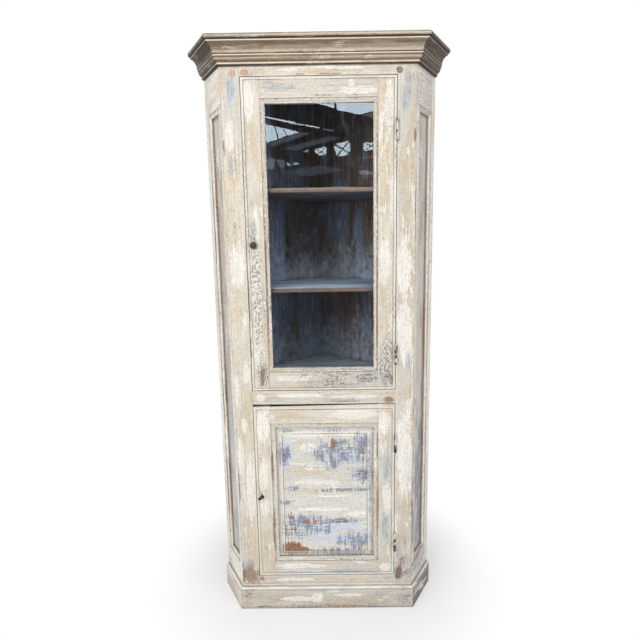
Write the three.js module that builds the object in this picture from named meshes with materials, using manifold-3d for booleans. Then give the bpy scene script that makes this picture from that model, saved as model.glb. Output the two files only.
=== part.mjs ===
// A tall painted corner cupboard, in millimetres, +Z up.
// The flat face looks along -Y and its two canted returns run back to a pair of board walls
// that meet at a right angle. A glazed door closes the upper cupboard and a panelled door the
// lower one. Both hang on butt hinges at the right. The finished group stands on z = 0, centred
// in plan on the middle of its bounding box. Inside the group y = 0 is the front of the face.
import * as THREE from 'three';
import { mergeVertices } from 'three/addons/utils/BufferGeometryUtils.js';
import Module from 'manifold-3d';

const wasm = await Module();
wasm.setup();

// Fits
const JOINT_GAP = 0.3;
const DOOR_GAP = 1.5;
const CUT_OVERRUN = 5;

// Carcass in plan
const FACE_WIDTH = 664;
const FACE_STILE_WIDTH = 67;
const CANT_WIDTH = 178;
const CANT_DEGREES = 60;
const FRAME_THICKNESS = 25;
const WALL_THICKNESS = 16;
const CORNER_FILLET_WIDTH = 28;

// Heights of the face frame's members, between which the upper opening takes what is left
const HEIGHT = 2100;
const BASE_RAIL_HEIGHT = 137;
const LOWER_OPENING_HEIGHT = 703;
const MID_RAIL_HEIGHT = 53;
const FRIEZE_RAIL_HEIGHT = 97;

// Members of the canted returns
const CANT_FRONT_STILE_WIDTH = 24;
const CANT_BACK_STILE_WIDTH = 36;
const CANT_BASE_RAIL_HEIGHT = 181;
const CANT_TOP_RAIL_HEIGHT = 192;
const CANT_PANEL_THICKNESS = 8;

// Walls: where the boards end, from the back corner outwards
const LEFT_BOARD_END_SHARES = [0.311, 0.653, 1];
const RIGHT_BOARD_END_SHARES = [0.381, 0.69, 1];

// Boards lying across
const TOP_BOARD_THICKNESS = 18;
const FLOOR_THICKNESS = 18;
const FLOOR_STOP_HEIGHT = 13;
const SHELF_THICKNESS = 15;
const SHELF_SETBACK = 5;
const SHELF_LEVEL_SHARES = [0.345, 0.669];

// Cornice and plinth
const CORNICE_HEIGHT = 82;
const CORNICE_PROJECTION = 58;
const PLINTH_HEIGHT = 91;
const PLINTH_PROJECTION = 12;
const PLINTH_EDGE_HEIGHT = 9;

// Doors
const DOOR_THICKNESS = 24;
const DOOR_SAG = 7;
const EDGE_BEAD_WIDTH = 8.5;
const LOWER_TOP_BEAD_WIDTH = 18;
const QUIRK_WIDTH = 1.8;
const QUIRK_DEPTH = 2;
const UPPER_STILE_WIDTH = 63.5;
const UPPER_RAIL_WIDTH = 68.5;
const LOWER_STILE_WIDTH = 62;
const LOWER_TOP_RAIL_WIDTH = 74;
const LOWER_BASE_RAIL_WIDTH = 60;

// Mouldings worked on the inner edges of the three kinds of frame
const GLASS_THICKNESS = 3;
const GLAZING_MOULDING = { width: 15, step: 1.5, panelFace: 11, grooveDepth: 11 };
const DOOR_PANEL_TONGUE = 6;
const DOOR_PANEL_MOULDING = { width: 17, step: 1.5, panelFace: 10, grooveDepth: 10 };
const CANT_MOULDING = { width: 14, step: 1.5, panelFace: 12, grooveDepth: 8 };

// Raised field of the lower door's panel
const FIELD_MARGIN = 17;
const FIELD_SLOPE_WIDTH = 7;
const FIELD_RISE = 6.5;

// Butt hinges, centred at these distances from the ends of the openings
const HINGE_HEIGHT = 76;
const HINGE_KNUCKLES = 5;
const KNUCKLE_RADIUS = 4.5;
const HINGE_PIN_RADIUS = 2;
const LEAF_THICKNESS = 1.5;
const LEAF_WIDTH = 20;
const HINGE_OUTSET = 1;
const UPPER_DOOR_HINGE_RISE = 135;
const UPPER_DOOR_HINGE_DROP = 175;
const LOWER_DOOR_HINGE_RISE = 141;
const LOWER_DOOR_HINGE_DROP = 156;

// Knob with its turn latch
const KNOB_INSET = 25;
const KNOB_LEVEL_SHARE = 0.488;
const KNOB_RADIUS = 12.5;
const KNOB_LENGTH = 21;
const KNOB_NECK_SHARE = 0.6;
const SPINDLE_RADIUS = 4;
const LATCH_REACH = 43;
const LATCH_WIDTH = 16;
const LATCH_THICKNESS = 5;
const LATCH_STANDOFF = 1.8;

// Lock with its bolt and key
const KEY_INSET = 20;
const KEY_RISE = 342;
const KEY_SHANK_RADIUS = 2.4;
const KEY_REACH = 14;
const KEY_BIT_RADIUS = 11;
const KEY_BIT_LENGTH = 6;
const KEY_BIT_THICKNESS = 2.6;
const KEY_REST_DEGREES = 25;
const BOW_RADIUS = 9.4;
const BOW_WIRE_RADIUS = 2.2;
const LOCK_WIDTH = 60;
const LOCK_HEIGHT = 56;
const LOCK_DEPTH = 14;
const LOCK_WALL = 1.5;
const LOCK_INSET = 3.5;
const BOLT_HEIGHT = 14;
const BOLT_THICKNESS = 5;
const BOLT_LENGTH = 46;
const BOLT_TALON_WIDTH = 9;
const BOLT_DIP = 2;

// Curve steps
const MOULDING_STEPS = 6;
const ROUND_STEPS = 24;
const KNUCKLE_STEPS = 16;

// Finishes
const FINISHES = {
  face: { color: 0xd8d2c4, roughness: 0.72, metalness: 0 },
  cant: { color: 0xbcb6ac, roughness: 0.75, metalness: 0 },
  cornice: { color: 0xb5a78f, roughness: 0.74, metalness: 0 },
  door: { color: 0xdcd7cb, roughness: 0.7, metalness: 0 },
  walls: { color: 0x6d6156, roughness: 0.85, metalness: 0 },
  shelf: { color: 0x87715f, roughness: 0.8, metalness: 0 },
  glass: { color: 0x9fb0b4, roughness: 0.05, metalness: 0 },
  iron: { color: 0x2e2a27, roughness: 0.55, metalness: 0.9 },
  hinge: { color: 0xb3ada0, roughness: 0.6, metalness: 0.4 },
  knob: { color: 0x4a3328, roughness: 0.5, metalness: 0 },
};

// Plan geometry of the right half, seen from above
const plan = (x, y) => new THREE.Vector2(x, y);
const cantAngle = THREE.MathUtils.degToRad(CANT_DEGREES);
const mitreSlope = Math.tan(cantAngle / 2);
const mitreRelief = JOINT_GAP / 2 / Math.cos(cantAngle / 2);
const faceCorner = plan(FACE_WIDTH / 2, 0);
const cantAlong = plan(Math.cos(cantAngle), Math.sin(cantAngle));
const cantInward = plan(-cantAlong.y, cantAlong.x);
const rearCorner = faceCorner.clone().addScaledVector(cantAlong, CANT_WIDTH);
const backCorner = plan(0, rearCorner.x + rearCorner.y);
const wallAlong = plan(1, -1).normalize();
const wallInward = plan(-1, -1).normalize();
const openingHalf = FACE_WIDTH / 2 - FACE_STILE_WIDTH;

// Levels above the floor
const stileTop = HEIGHT - TOP_BOARD_THICKNESS;
const lowerOpeningTop = BASE_RAIL_HEIGHT + LOWER_OPENING_HEIGHT;
const upperOpeningBottom = lowerOpeningTop + MID_RAIL_HEIGHT;
const upperOpeningTop = stileTop - FRIEZE_RAIL_HEIGHT;
const cantOpeningTop = stileTop - CANT_TOP_RAIL_HEIGHT;
const upperDoorHinges = [
  upperOpeningBottom + UPPER_DOOR_HINGE_RISE, upperOpeningTop - UPPER_DOOR_HINGE_DROP,
];
const lowerDoorHinges = [
  BASE_RAIL_HEIGHT + LOWER_DOOR_HINGE_RISE, lowerOpeningTop - LOWER_DOOR_HINGE_DROP,
];
const upperLevel = (share) => upperOpeningBottom + (upperOpeningTop - upperOpeningBottom) * share;
const knobLevel = upperLevel(KNOB_LEVEL_SHARE);
const keyLevel = BASE_RAIL_HEIGHT + KEY_RISE;

// A point of the return: distance back from the front arris, depth in from its face
function cantPoint(back, depth) {
  return faceCorner.clone().addScaledVector(cantAlong, back).addScaledVector(cantInward, depth);
}

// A point of the right wall: distance out from the back corner, depth in from its outer face
function wallPoint(out, depth) {
  return backCorner.clone().addScaledVector(wallAlong, out).addScaledVector(wallInward, depth);
}

function crossing(pointA, alongA, pointB, alongB) {
  const between = pointB.clone().sub(pointA);
  return pointA.clone().addScaledVector(alongA, between.cross(alongB) / alongA.cross(alongB));
}

const cantMeetsWall = (cantDepth, wallDepth) =>
  crossing(cantPoint(0, cantDepth), cantAlong, wallPoint(0, wallDepth), wallAlong);
const cantMeetsDepth = (cantDepth, y) =>
  crossing(cantPoint(0, cantDepth), cantAlong, plan(0, y), plan(1, 0));
const mirrored = (points) => points.map((point) => plan(-point.x, point.y)).reverse();

// A quarter of an ellipse from one point to another, round a centre square to both
function quarterArc(from, to, centre, steps = MOULDING_STEPS) {
  const points = [];
  for (let step = 0; step <= steps; step += 1) {
    const turn = (step / steps) * (Math.PI / 2);
    const point = centre.clone();
    point.addScaledVector(from.clone().sub(centre), Math.cos(turn));
    point.addScaledVector(to.clone().sub(centre), Math.sin(turn));
    points.push(point);
  }
  return points;
}

// Turns every face over
function flipped(geometry) {
  const position = geometry.getAttribute('position');
  const first = new THREE.Vector3();
  const second = new THREE.Vector3();
  for (let corner = 0; corner < position.count; corner += 3) {
    first.fromBufferAttribute(position, corner);
    second.fromBufferAttribute(position, corner + 1);
    position.setXYZ(corner, second.x, second.y, second.z);
    position.setXYZ(corner + 1, first.x, first.y, first.z);
  }
  return geometry;
}

function mirrorImage(geometry) {
  const copy = geometry.index ? geometry.toNonIndexed() : geometry.clone();
  return flipped(copy.scale(-1, 1, 1));
}

// Runs an outline from start to end. u and v carry the outline, and each end may be cut on a
// slope that moves it along the run with u.
function run({ outline, start, end, u, v, startSlope = 0, endSlope = 0 }) {
  const geometry = new THREE.ExtrudeGeometry(new THREE.Shape(outline), {
    depth: 1,
    bevelEnabled: false,
  });
  const along = end.clone().sub(start).normalize();
  const position = geometry.getAttribute('position');
  for (let corner = 0; corner < position.count; corner += 1) {
    const across = position.getX(corner);
    const atEnd = position.getZ(corner) > 1 / 2;
    const point = (atEnd ? end : start).clone();
    point.addScaledVector(along, across * (atEnd ? endSlope : startSlope));
    point.addScaledVector(u, across);
    point.addScaledVector(v, position.getY(corner));
    position.setXYZ(corner, point.x, point.y, point.z);
  }
  const handed = new THREE.Vector3().crossVectors(u, v).dot(along);
  return handed < 0 ? flipped(geometry) : geometry;
}

const X = new THREE.Vector3(1, 0, 0);
const Y = new THREE.Vector3(0, 1, 0);
const Z = new THREE.Vector3(0, 0, 1);
const at = (x, y, z) => new THREE.Vector3(x, y, z);
const overPlan = (point, z = 0) => at(point.x, point.y, z);

const upright = (outline, bottom, top) =>
  run({ outline, start: at(0, 0, bottom), end: at(0, 0, top), u: X, v: Y });
const facing = (outline, front, back) =>
  run({ outline, start: at(0, front, 0), end: at(0, back, 0), u: X, v: Z });

function block(x0, x1, y0, y1, z0, z1) {
  const geometry = new THREE.BoxGeometry(x1 - x0, y1 - y0, z1 - z0);
  return geometry.translate((x0 + x1) / 2, (y0 + y1) / 2, (z0 + z1) / 2);
}

function roundBar(radius, from, to, steps = ROUND_STEPS) {
  const geometry = new THREE.CylinderGeometry(radius, radius, from.distanceTo(to), steps);
  const along = to.clone().sub(from).normalize();
  geometry.applyQuaternion(new THREE.Quaternion().setFromUnitVectors(Y, along));
  const middle = from.clone().lerp(to, 1 / 2);
  return geometry.translate(middle.x, middle.y, middle.z);
}

// Cuts and joins
function solid(geometry) {
  const bare = geometry.clone();
  for (const name of Object.keys(bare.attributes)) {
    if (name !== 'position') bare.deleteAttribute(name);
  }
  const merged = mergeVertices(bare, JOINT_GAP / 100);
  return new wasm.Manifold(new wasm.Mesh({
    numProp: 3,
    vertProperties: Float32Array.from(merged.getAttribute('position').array),
    triVerts: Uint32Array.from(merged.index.array),
  }));
}

function surface(body) {
  const mesh = body.getMesh();
  const geometry = new THREE.BufferGeometry();
  geometry.setAttribute('position', new THREE.BufferAttribute(mesh.vertProperties, 3));
  geometry.setIndex(new THREE.BufferAttribute(mesh.triVerts, 1));
  return geometry;
}

function shaped(base, { add = [], cut = [] }) {
  let body = solid(base);
  for (const piece of add) body = body.add(solid(piece));
  for (const piece of cut) body = body.subtract(solid(piece));
  return surface(body);
}

const cupboard = new THREE.Group();
const groups = {};

function add(name, finish, geometry, body = 'case') {
  const indexed = geometry.index ? geometry.toNonIndexed() : geometry;
  indexed.computeVertexNormals();
  const mesh = new THREE.Mesh(indexed, new THREE.MeshStandardMaterial(FINISHES[finish]));
  mesh.name = name;
  if (!groups[body]) {
    groups[body] = new THREE.Group();
    cupboard.add(groups[body]);
  }
  groups[body].add(mesh);
}

function addPair(name, finish, rightGeometry) {
  add(`${name}_right`, finish, rightGeometry);
  add(`${name}_left`, finish, mirrorImage(rightGeometry));
}

// The moulding on a frame's inner edge with its panel groove: u runs from the flat of the
// member towards the panel, v from the face inwards
function mouldingOutline(moulding, panelThickness, frameThickness) {
  const { width, step, panelFace, grooveDepth } = moulding;
  const bite = JOINT_GAP / 2;
  const panelBack = panelFace + panelThickness + JOINT_GAP * 2;
  const grooveFace = panelFace - JOINT_GAP;
  return [
    plan(-bite, step),
    ...quarterArc(plan(0, step), plan(width, grooveFace), plan(0, grooveFace)),
    plan(width - grooveDepth, grooveFace),
    plan(width - grooveDepth, panelBack),
    plan(width, panelBack),
    plan(width, frameThickness),
    plan(-bite, frameThickness),
  ];
}

// One mitred length of that moulding, between the inner corners of the flat frame
function mouldingRun(outline, from, to, u, v) {
  const along = to.clone().sub(from).normalize();
  return run({
    outline,
    start: from.clone().addScaledVector(along, JOINT_GAP),
    end: to.clone().addScaledVector(along, -JOINT_GAP),
    u,
    v,
    startSlope: 1,
    endSlope: -1,
  });
}

// Hinges: the axis stands just clear of the face, beside the opening's right edge
const hingeAxis = plan(openingHalf + HINGE_OUTSET, -(KNUCKLE_RADIUS + JOINT_GAP));
const doorHalf = openingHalf - DOOR_GAP;
const leafPocketDepth = LEAF_WIDTH + JOINT_GAP;
const leafPocketHeight = HINGE_HEIGHT + JOINT_GAP * 2;
const leafFit = JOINT_GAP / 2;

function leafPockets(levels, x0, x1) {
  return levels.map((level) => block(
    x0, x1, -CUT_OVERRUN, leafPocketDepth,
    level - leafPocketHeight / 2, level + leafPocketHeight / 2,
  ));
}

function hingeLeaf(level, plateX, mine) {
  const bottom = level - HINGE_HEIGHT / 2;
  const pitch = HINGE_HEIGHT / HINGE_KNUCKLES;
  const plate = block(
    plateX, plateX + LEAF_THICKNESS, 0, LEAF_WIDTH, bottom, bottom + HINGE_HEIGHT,
  );
  const joined = [];
  const bores = [];
  for (let knuckle = 0; knuckle < HINGE_KNUCKLES; knuckle += 1) {
    if (!mine(knuckle)) continue;
    const low = bottom + knuckle * pitch + JOINT_GAP / 2;
    const high = bottom + (knuckle + 1) * pitch - JOINT_GAP / 2;
    joined.push(roundBar(
      KNUCKLE_RADIUS, overPlan(hingeAxis, low), overPlan(hingeAxis, high), KNUCKLE_STEPS,
    ));
    joined.push(block(
      plateX, plateX + LEAF_THICKNESS, hingeAxis.y, LEAF_THICKNESS, low, high,
    ));
  }
  bores.push(roundBar(
    HINGE_PIN_RADIUS + JOINT_GAP,
    overPlan(hingeAxis, bottom - CUT_OVERRUN),
    overPlan(hingeAxis, bottom + HINGE_HEIGHT + CUT_OVERRUN),
    KNUCKLE_STEPS,
  ));
  return shaped(plate, { add: joined, cut: bores });
}

function addHinge(prefix, level, doorBody) {
  const frameLeaf = hingeLeaf(level, openingHalf, (knuckle) => knuckle % 2 === 0);
  const doorLeaf = hingeLeaf(level, doorHalf - LEAF_THICKNESS, (knuckle) => knuckle % 2 === 1);
  const halfHeight = HINGE_HEIGHT / 2;
  const pin = roundBar(
    HINGE_PIN_RADIUS,
    overPlan(hingeAxis, level - halfHeight),
    overPlan(hingeAxis, level + halfHeight),
    KNUCKLE_STEPS,
  );
  add(`${prefix}_frame_leaf`, 'hinge', frameLeaf);
  add(`${prefix}_pin`, 'iron', pin);
  add(`${prefix}_door_leaf`, 'hinge', doorLeaf, doorBody);
}

// Face frame: two stiles mitred to the returns and three rails between them
function faceStileOutline() {
  return [
    plan(openingHalf, 0),
    plan(faceCorner.x - mitreRelief, 0),
    plan(faceCorner.x - mitreRelief - FRAME_THICKNESS * mitreSlope, FRAME_THICKNESS),
    plan(openingHalf, FRAME_THICKNESS),
  ];
}

function buildFaceFrame() {
  const stile = upright(faceStileOutline(), 0, stileTop);
  const pockets = leafPockets(
    [...upperDoorHinges, ...lowerDoorHinges],
    openingHalf - CUT_OVERRUN, openingHalf + LEAF_THICKNESS + leafFit,
  );
  add('face_stile_left', 'face', mirrorImage(stile));
  add('face_stile_right', 'face', shaped(stile, { cut: pockets }));
  const rails = [
    ['base_rail', 0, BASE_RAIL_HEIGHT],
    ['mid_rail', lowerOpeningTop, upperOpeningBottom],
    ['frieze_rail', upperOpeningTop, stileTop],
  ];
  for (const [name, bottom, top] of rails) {
    add(name, 'face', block(-openingHalf, openingHalf, 0, FRAME_THICKNESS, bottom, top));
  }
}

// Canted returns: framed panels, built on the right and mirrored
function fromMitreTo(back) {
  return [
    cantPoint(mitreRelief, 0),
    cantPoint(back, 0),
    cantPoint(back, FRAME_THICKNESS),
    cantPoint(mitreRelief + FRAME_THICKNESS * mitreSlope, FRAME_THICKNESS),
  ];
}

function buildCants() {
  const backStart = CANT_WIDTH - CANT_BACK_STILE_WIDTH;
  const outline = mouldingOutline(CANT_MOULDING, CANT_PANEL_THICKNESS, FRAME_THICKNESS);
  const forward = overPlan(cantAlong);
  const inward = overPlan(cantInward);
  const corner = (back, z) => overPlan(cantPoint(back, 0), z);
  const bottom = CANT_BASE_RAIL_HEIGHT;
  const top = cantOpeningTop;
  const frontStile = upright(
    fromMitreTo(CANT_FRONT_STILE_WIDTH), bottom + JOINT_GAP, top - JOINT_GAP,
  );
  const backStile = upright([
    cantPoint(backStart, 0),
    rearCorner,
    cantMeetsWall(FRAME_THICKNESS, 0),
    cantPoint(backStart, FRAME_THICKNESS),
  ], 0, stileTop);
  const baseRail = upright(fromMitreTo(backStart - JOINT_GAP), 0, bottom);
  const topRail = upright(fromMitreTo(backStart - JOINT_GAP), top, stileTop);
  const lengths = {
    front: [corner(CANT_FRONT_STILE_WIDTH, bottom), corner(CANT_FRONT_STILE_WIDTH, top), forward],
    back: [corner(backStart, bottom), corner(backStart, top), forward.clone().negate()],
    base: [corner(CANT_FRONT_STILE_WIDTH, bottom), corner(backStart, bottom), Z],
    top: [corner(CANT_FRONT_STILE_WIDTH, top), corner(backStart, top), Z.clone().negate()],
  };
  const moulded = (member, [from, to, u]) =>
    shaped(member, { add: [mouldingRun(outline, from, to, u, inward)] });
  addPair('cant_front_stile', 'cant', moulded(frontStile, lengths.front));
  addPair('cant_back_stile', 'cant', moulded(backStile, lengths.back));
  addPair('cant_base_rail', 'cant', moulded(baseRail, lengths.base));
  addPair('cant_top_rail', 'cant', moulded(topRail, lengths.top));
  addPair('cant_panel', 'cant', cantPanel(backStart));
}

function cantPanel(backStart) {
  const { width, panelFace, grooveDepth } = CANT_MOULDING;
  const inset = width - grooveDepth + JOINT_GAP;
  const from = CANT_FRONT_STILE_WIDTH + inset;
  const to = backStart - inset;
  const back = panelFace + CANT_PANEL_THICKNESS;
  return upright([
    cantPoint(from, panelFace),
    cantPoint(to, panelFace),
    cantPoint(to, back),
    cantPoint(from, back),
  ], CANT_BASE_RAIL_HEIGHT + inset, cantOpeningTop - inset);
}

// Board walls: the right wall covers the back corner and the left one butts against it
function buildWalls() {
  const sides = [
    ['left', LEFT_BOARD_END_SHARES, WALL_THICKNESS + JOINT_GAP],
    ['right', RIGHT_BOARD_END_SHARES, 0],
  ];
  const wallLength = rearCorner.distanceTo(backCorner);
  for (const [side, endShares, start] of sides) {
    let from = start;
    for (const [board, share] of endShares.entries()) {
      const joint = wallLength * share;
      const end = (depth) => (share < 1
        ? wallPoint(joint - JOINT_GAP, depth)
        : cantMeetsWall(FRAME_THICKNESS + JOINT_GAP, depth));
      const outline = [
        wallPoint(from, 0), wallPoint(from, WALL_THICKNESS), end(WALL_THICKNESS), end(0),
      ];
      const placed = side === 'left' ? mirrored(outline) : outline;
      add(`wall_board_${side}_${board + 1}`, 'walls', upright(placed, 0, stileTop));
      from = joint;
    }
  }
}

const innerCorner = backCorner.y - (WALL_THICKNESS + JOINT_GAP) * Math.SQRT2;
const filletFront = innerCorner - CORNER_FILLET_WIDTH / 2;
const baseBoardTop = BASE_RAIL_HEIGHT + FLOOR_STOP_HEIGHT;

function buildCornerFillet() {
  const half = CORNER_FILLET_WIDTH / 2;
  add('corner_fillet', 'walls', upright(
    [plan(-half, filletFront), plan(half, filletFront), plan(0, innerCorner)],
    baseBoardTop, stileTop,
  ));
}

// Floors and shelves fill the plan inside the frame, the walls and the corner fillet
function innerOutline(front, notched) {
  const side = FRAME_THICKNESS + JOINT_GAP;
  const wall = WALL_THICKNESS + JOINT_GAP;
  const right = [cantMeetsDepth(side, front), cantMeetsWall(side, wall)];
  const clear = filletFront - JOINT_GAP;
  const corner = notched
    ? [plan(innerCorner - clear, clear), plan(clear - innerCorner, clear)]
    : [plan(0, innerCorner)];
  const left = mirrored(right);
  return [...right, ...corner, ...left];
}

function buildBoards() {
  const floorTop = upperOpeningBottom + FLOOR_STOP_HEIGHT;
  const shelfFront = FRAME_THICKNESS + SHELF_SETBACK;
  const floors = { base_board: [baseBoardTop, false], cupboard_floor: [floorTop, true] };
  for (const [name, [top, notched]] of Object.entries(floors)) {
    const outline = innerOutline(FRAME_THICKNESS, notched);
    add(name, 'shelf', upright(outline, top - FLOOR_THICKNESS, top));
  }
  for (const [index, name] of ['shelf_lower', 'shelf_upper'].entries()) {
    const top = upperLevel(SHELF_LEVEL_SHARES[index]);
    const outline = innerOutline(shelfFront, true);
    add(name, 'shelf', upright(outline, top - SHELF_THICKNESS, top));
  }
  const outer = [faceCorner, rearCorner, backCorner, ...mirrored([faceCorner, rearCorner])];
  add('top_board', 'walls', upright(outer, stileTop, HEIGHT));
}

// Cornice and plinth: three lengths each, mitred at the arrises and cut off on the wall line
const corniceShares = {
  bullnose: 0.19, fillet: 0.25, coveEnd: 0.64, lowerFillet: 0.68, roundEnd: 0.88,
};
const corniceReachShares = { nose: 0.92, fillet: 0.86, coveEnd: 0.42, round: 0.36, foot: 0.14 };

function corniceOutline() {
  const level = (share) => HEIGHT - CORNICE_HEIGHT * share;
  const reach = (share) => CORNICE_PROJECTION * share;
  const noseMiddle = level(corniceShares.bullnose / 2);
  const nose = plan(reach(corniceReachShares.nose), HEIGHT);
  const tip = plan(CORNICE_PROJECTION, noseMiddle);
  const noseFoot = plan(nose.x, level(corniceShares.bullnose));
  const coveTop = plan(reach(corniceReachShares.fillet), level(corniceShares.fillet));
  const coveFoot = plan(reach(corniceReachShares.coveEnd), level(corniceShares.coveEnd));
  const roundTop = plan(reach(corniceReachShares.round), level(corniceShares.lowerFillet));
  const roundFoot = plan(reach(corniceReachShares.foot), level(corniceShares.roundEnd));
  return [
    plan(0, HEIGHT),
    ...quarterArc(nose, tip, plan(nose.x, tip.y)),
    ...quarterArc(tip, noseFoot, plan(nose.x, tip.y)).slice(1),
    plan(coveTop.x, noseFoot.y),
    ...quarterArc(coveTop, coveFoot, plan(coveTop.x, coveFoot.y)),
    plan(coveFoot.x, roundTop.y),
    ...quarterArc(roundTop, roundFoot, plan(roundFoot.x, roundTop.y)),
    plan(reach(corniceReachShares.foot), level(1)),
    plan(0, level(1)),
  ];
}

function plinthOutline() {
  const shoulder = PLINTH_HEIGHT - PLINTH_EDGE_HEIGHT;
  const ledge = PLINTH_PROJECTION / 2;
  return [
    plan(0, 0),
    plan(PLINTH_PROJECTION, 0),
    plan(PLINTH_PROJECTION, shoulder),
    ...quarterArc(
      plan(PLINTH_PROJECTION, shoulder), plan(ledge, PLINTH_HEIGHT), plan(ledge, shoulder),
    ).slice(1),
    plan(0, PLINTH_HEIGHT),
  ];
}

function buildCladding(name, finish, outline) {
  const outward = overPlan(cantInward).negate();
  const front = run({
    outline,
    start: at(-faceCorner.x + mitreRelief, 0, 0),
    end: at(faceCorner.x - mitreRelief, 0, 0),
    u: Y.clone().negate(),
    v: Z,
    startSlope: -mitreSlope,
    endSlope: mitreSlope,
  });
  const wallSlope = cantInward.dot(wallInward) / cantAlong.dot(wallInward);
  const side = run({
    outline,
    start: overPlan(cantPoint(mitreRelief, -JOINT_GAP)),
    end: overPlan(cantPoint(CANT_WIDTH, -JOINT_GAP)),
    u: outward,
    v: Z,
    startSlope: -mitreSlope,
    endSlope: wallSlope,
  });
  add(`${name}_front`, finish, front);
  addPair(name, finish, side);
}

// Doors: stiles through, rails between, a bead cut round the face by a narrow quirk. A door
// that has sagged at its free side has been planed down along the top.
function doorMembers(door) {
  const { left, right, bottom, top, sag, stile, topRail, baseRail, topBead } = door;
  const inner = {
    left: left + stile,
    right: right - stile,
    bottom: bottom + baseRail,
    top: top - topRail,
  };
  const board = (x0, x1, z0, z1) => block(x0, x1, 0, DOOR_THICKNESS, z0, z1);
  const members = {
    left: board(left, inner.left, bottom, top),
    right: board(inner.right, right, bottom, top),
    base: board(inner.left + JOINT_GAP, inner.right - JOINT_GAP, bottom, inner.bottom),
    top: board(inner.left + JOINT_GAP, inner.right - JOINT_GAP, inner.top, top),
  };
  const corner = (x, z) => at(x, 0, z);
  const mouldings = {
    left: [corner(inner.left, inner.bottom), corner(inner.left, inner.top), X],
    right: [corner(inner.right, inner.bottom), corner(inner.right, inner.top), X.clone().negate()],
    base: [corner(inner.left, inner.bottom), corner(inner.right, inner.bottom), Z],
    top: [corner(inner.left, inner.top), corner(inner.right, inner.top), Z.clone().negate()],
  };
  const cuts = [quirkRing(
    left + EDGE_BEAD_WIDTH, right - EDGE_BEAD_WIDTH, bottom + EDGE_BEAD_WIDTH, top - topBead,
  )];
  if (sag > 0) cuts.push(planedTop(left, right, top, sag));
  return { members, mouldings, cuts, inner };
}

function planedTop(left, right, top, sag) {
  return facing([
    plan(left, top - sag), plan(right, top), plan(right, top + CUT_OVERRUN),
    plan(left - CUT_OVERRUN, top + CUT_OVERRUN), plan(left - CUT_OVERRUN, top - sag),
  ], -CUT_OVERRUN, DOOR_THICKNESS + CUT_OVERRUN);
}

// The quirk that marks off the bead: a narrow groove round the face, square to the door
function quirkRing(left, right, bottom, top) {
  const over = CUT_OVERRUN;
  const core = block(
    left + QUIRK_WIDTH, right - QUIRK_WIDTH, -over * 2, QUIRK_DEPTH + over,
    bottom + QUIRK_WIDTH, top - QUIRK_WIDTH,
  );
  return shaped(block(left, right, -over, QUIRK_DEPTH, bottom, top), { cut: [core] });
}

function buildDoor(prefix, door, outline, holes) {
  const { members, mouldings, cuts, inner } = doorMembers(door);
  const names = { left: 'stile_left', right: 'stile_right', base: 'base_rail', top: 'top_rail' };
  for (const [key, name] of Object.entries(names)) {
    const [from, to, u] = mouldings[key];
    const piece = shaped(members[key], {
      add: [mouldingRun(outline, from, to, u, Y)],
      cut: [...cuts, ...(holes[key] ?? [])],
    });
    add(`${prefix}_${name}`, 'door', piece, prefix);
  }
  return inner;
}

const upperDoor = {
  left: -doorHalf,
  right: doorHalf,
  bottom: upperOpeningBottom + DOOR_GAP,
  top: upperOpeningTop - DOOR_GAP,
  sag: 0,
  stile: UPPER_STILE_WIDTH,
  topRail: UPPER_RAIL_WIDTH,
  baseRail: UPPER_RAIL_WIDTH,
  topBead: EDGE_BEAD_WIDTH,
};
const lowerDoor = {
  left: -doorHalf,
  right: doorHalf,
  bottom: BASE_RAIL_HEIGHT + DOOR_GAP,
  top: lowerOpeningTop - DOOR_GAP,
  sag: DOOR_SAG,
  stile: LOWER_STILE_WIDTH,
  topRail: LOWER_TOP_RAIL_WIDTH,
  baseRail: LOWER_BASE_RAIL_WIDTH,
  topBead: LOWER_TOP_BEAD_WIDTH,
};
const doorLeafPocket = (levels) =>
  leafPockets(levels, doorHalf - LEAF_THICKNESS - leafFit, doorHalf + CUT_OVERRUN);
const knobX = -doorHalf + KNOB_INSET;
const keyX = -doorHalf + KEY_INSET;

function buildUpperDoor() {
  const outline = mouldingOutline(GLAZING_MOULDING, GLASS_THICKNESS, DOOR_THICKNESS);
  const spindleHole = roundBar(
    SPINDLE_RADIUS + JOINT_GAP * 2,
    at(knobX, -CUT_OVERRUN, knobLevel), at(knobX, DOOR_THICKNESS + CUT_OVERRUN, knobLevel),
  );
  const inner = buildDoor('upper_door', upperDoor, outline, {
    left: [spindleHole],
    right: doorLeafPocket(upperDoorHinges),
  });
  const { width, panelFace, grooveDepth } = GLAZING_MOULDING;
  const inset = width - grooveDepth + JOINT_GAP;
  add('upper_door_glass', 'glass', block(
    inner.left + inset, inner.right - inset,
    panelFace, panelFace + GLASS_THICKNESS,
    inner.bottom + inset, inner.top - inset,
  ), 'upper_door');
  for (const [index, level] of upperDoorHinges.entries()) {
    addHinge(`upper_hinge_${index + 1}`, level, 'upper_door');
  }
}

// A closed loft through rectangles that share an order of corners
function loft(rings) {
  const corners = [];
  const quad = (a, b, c, d) => corners.push(a, b, c, a, c, d);
  for (let ring = 0; ring + 1 < rings.length; ring += 1) {
    for (let side = 0; side < 4; side += 1) {
      const next = (side + 1) % 4;
      quad(rings[ring][side], rings[ring][next], rings[ring + 1][next], rings[ring + 1][side]);
    }
  }
  const first = rings[0];
  const last = rings[rings.length - 1];
  quad(first[3], first[2], first[1], first[0]);
  quad(last[0], last[1], last[2], last[3]);
  return new THREE.BufferGeometry().setFromPoints(corners);
}

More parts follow.
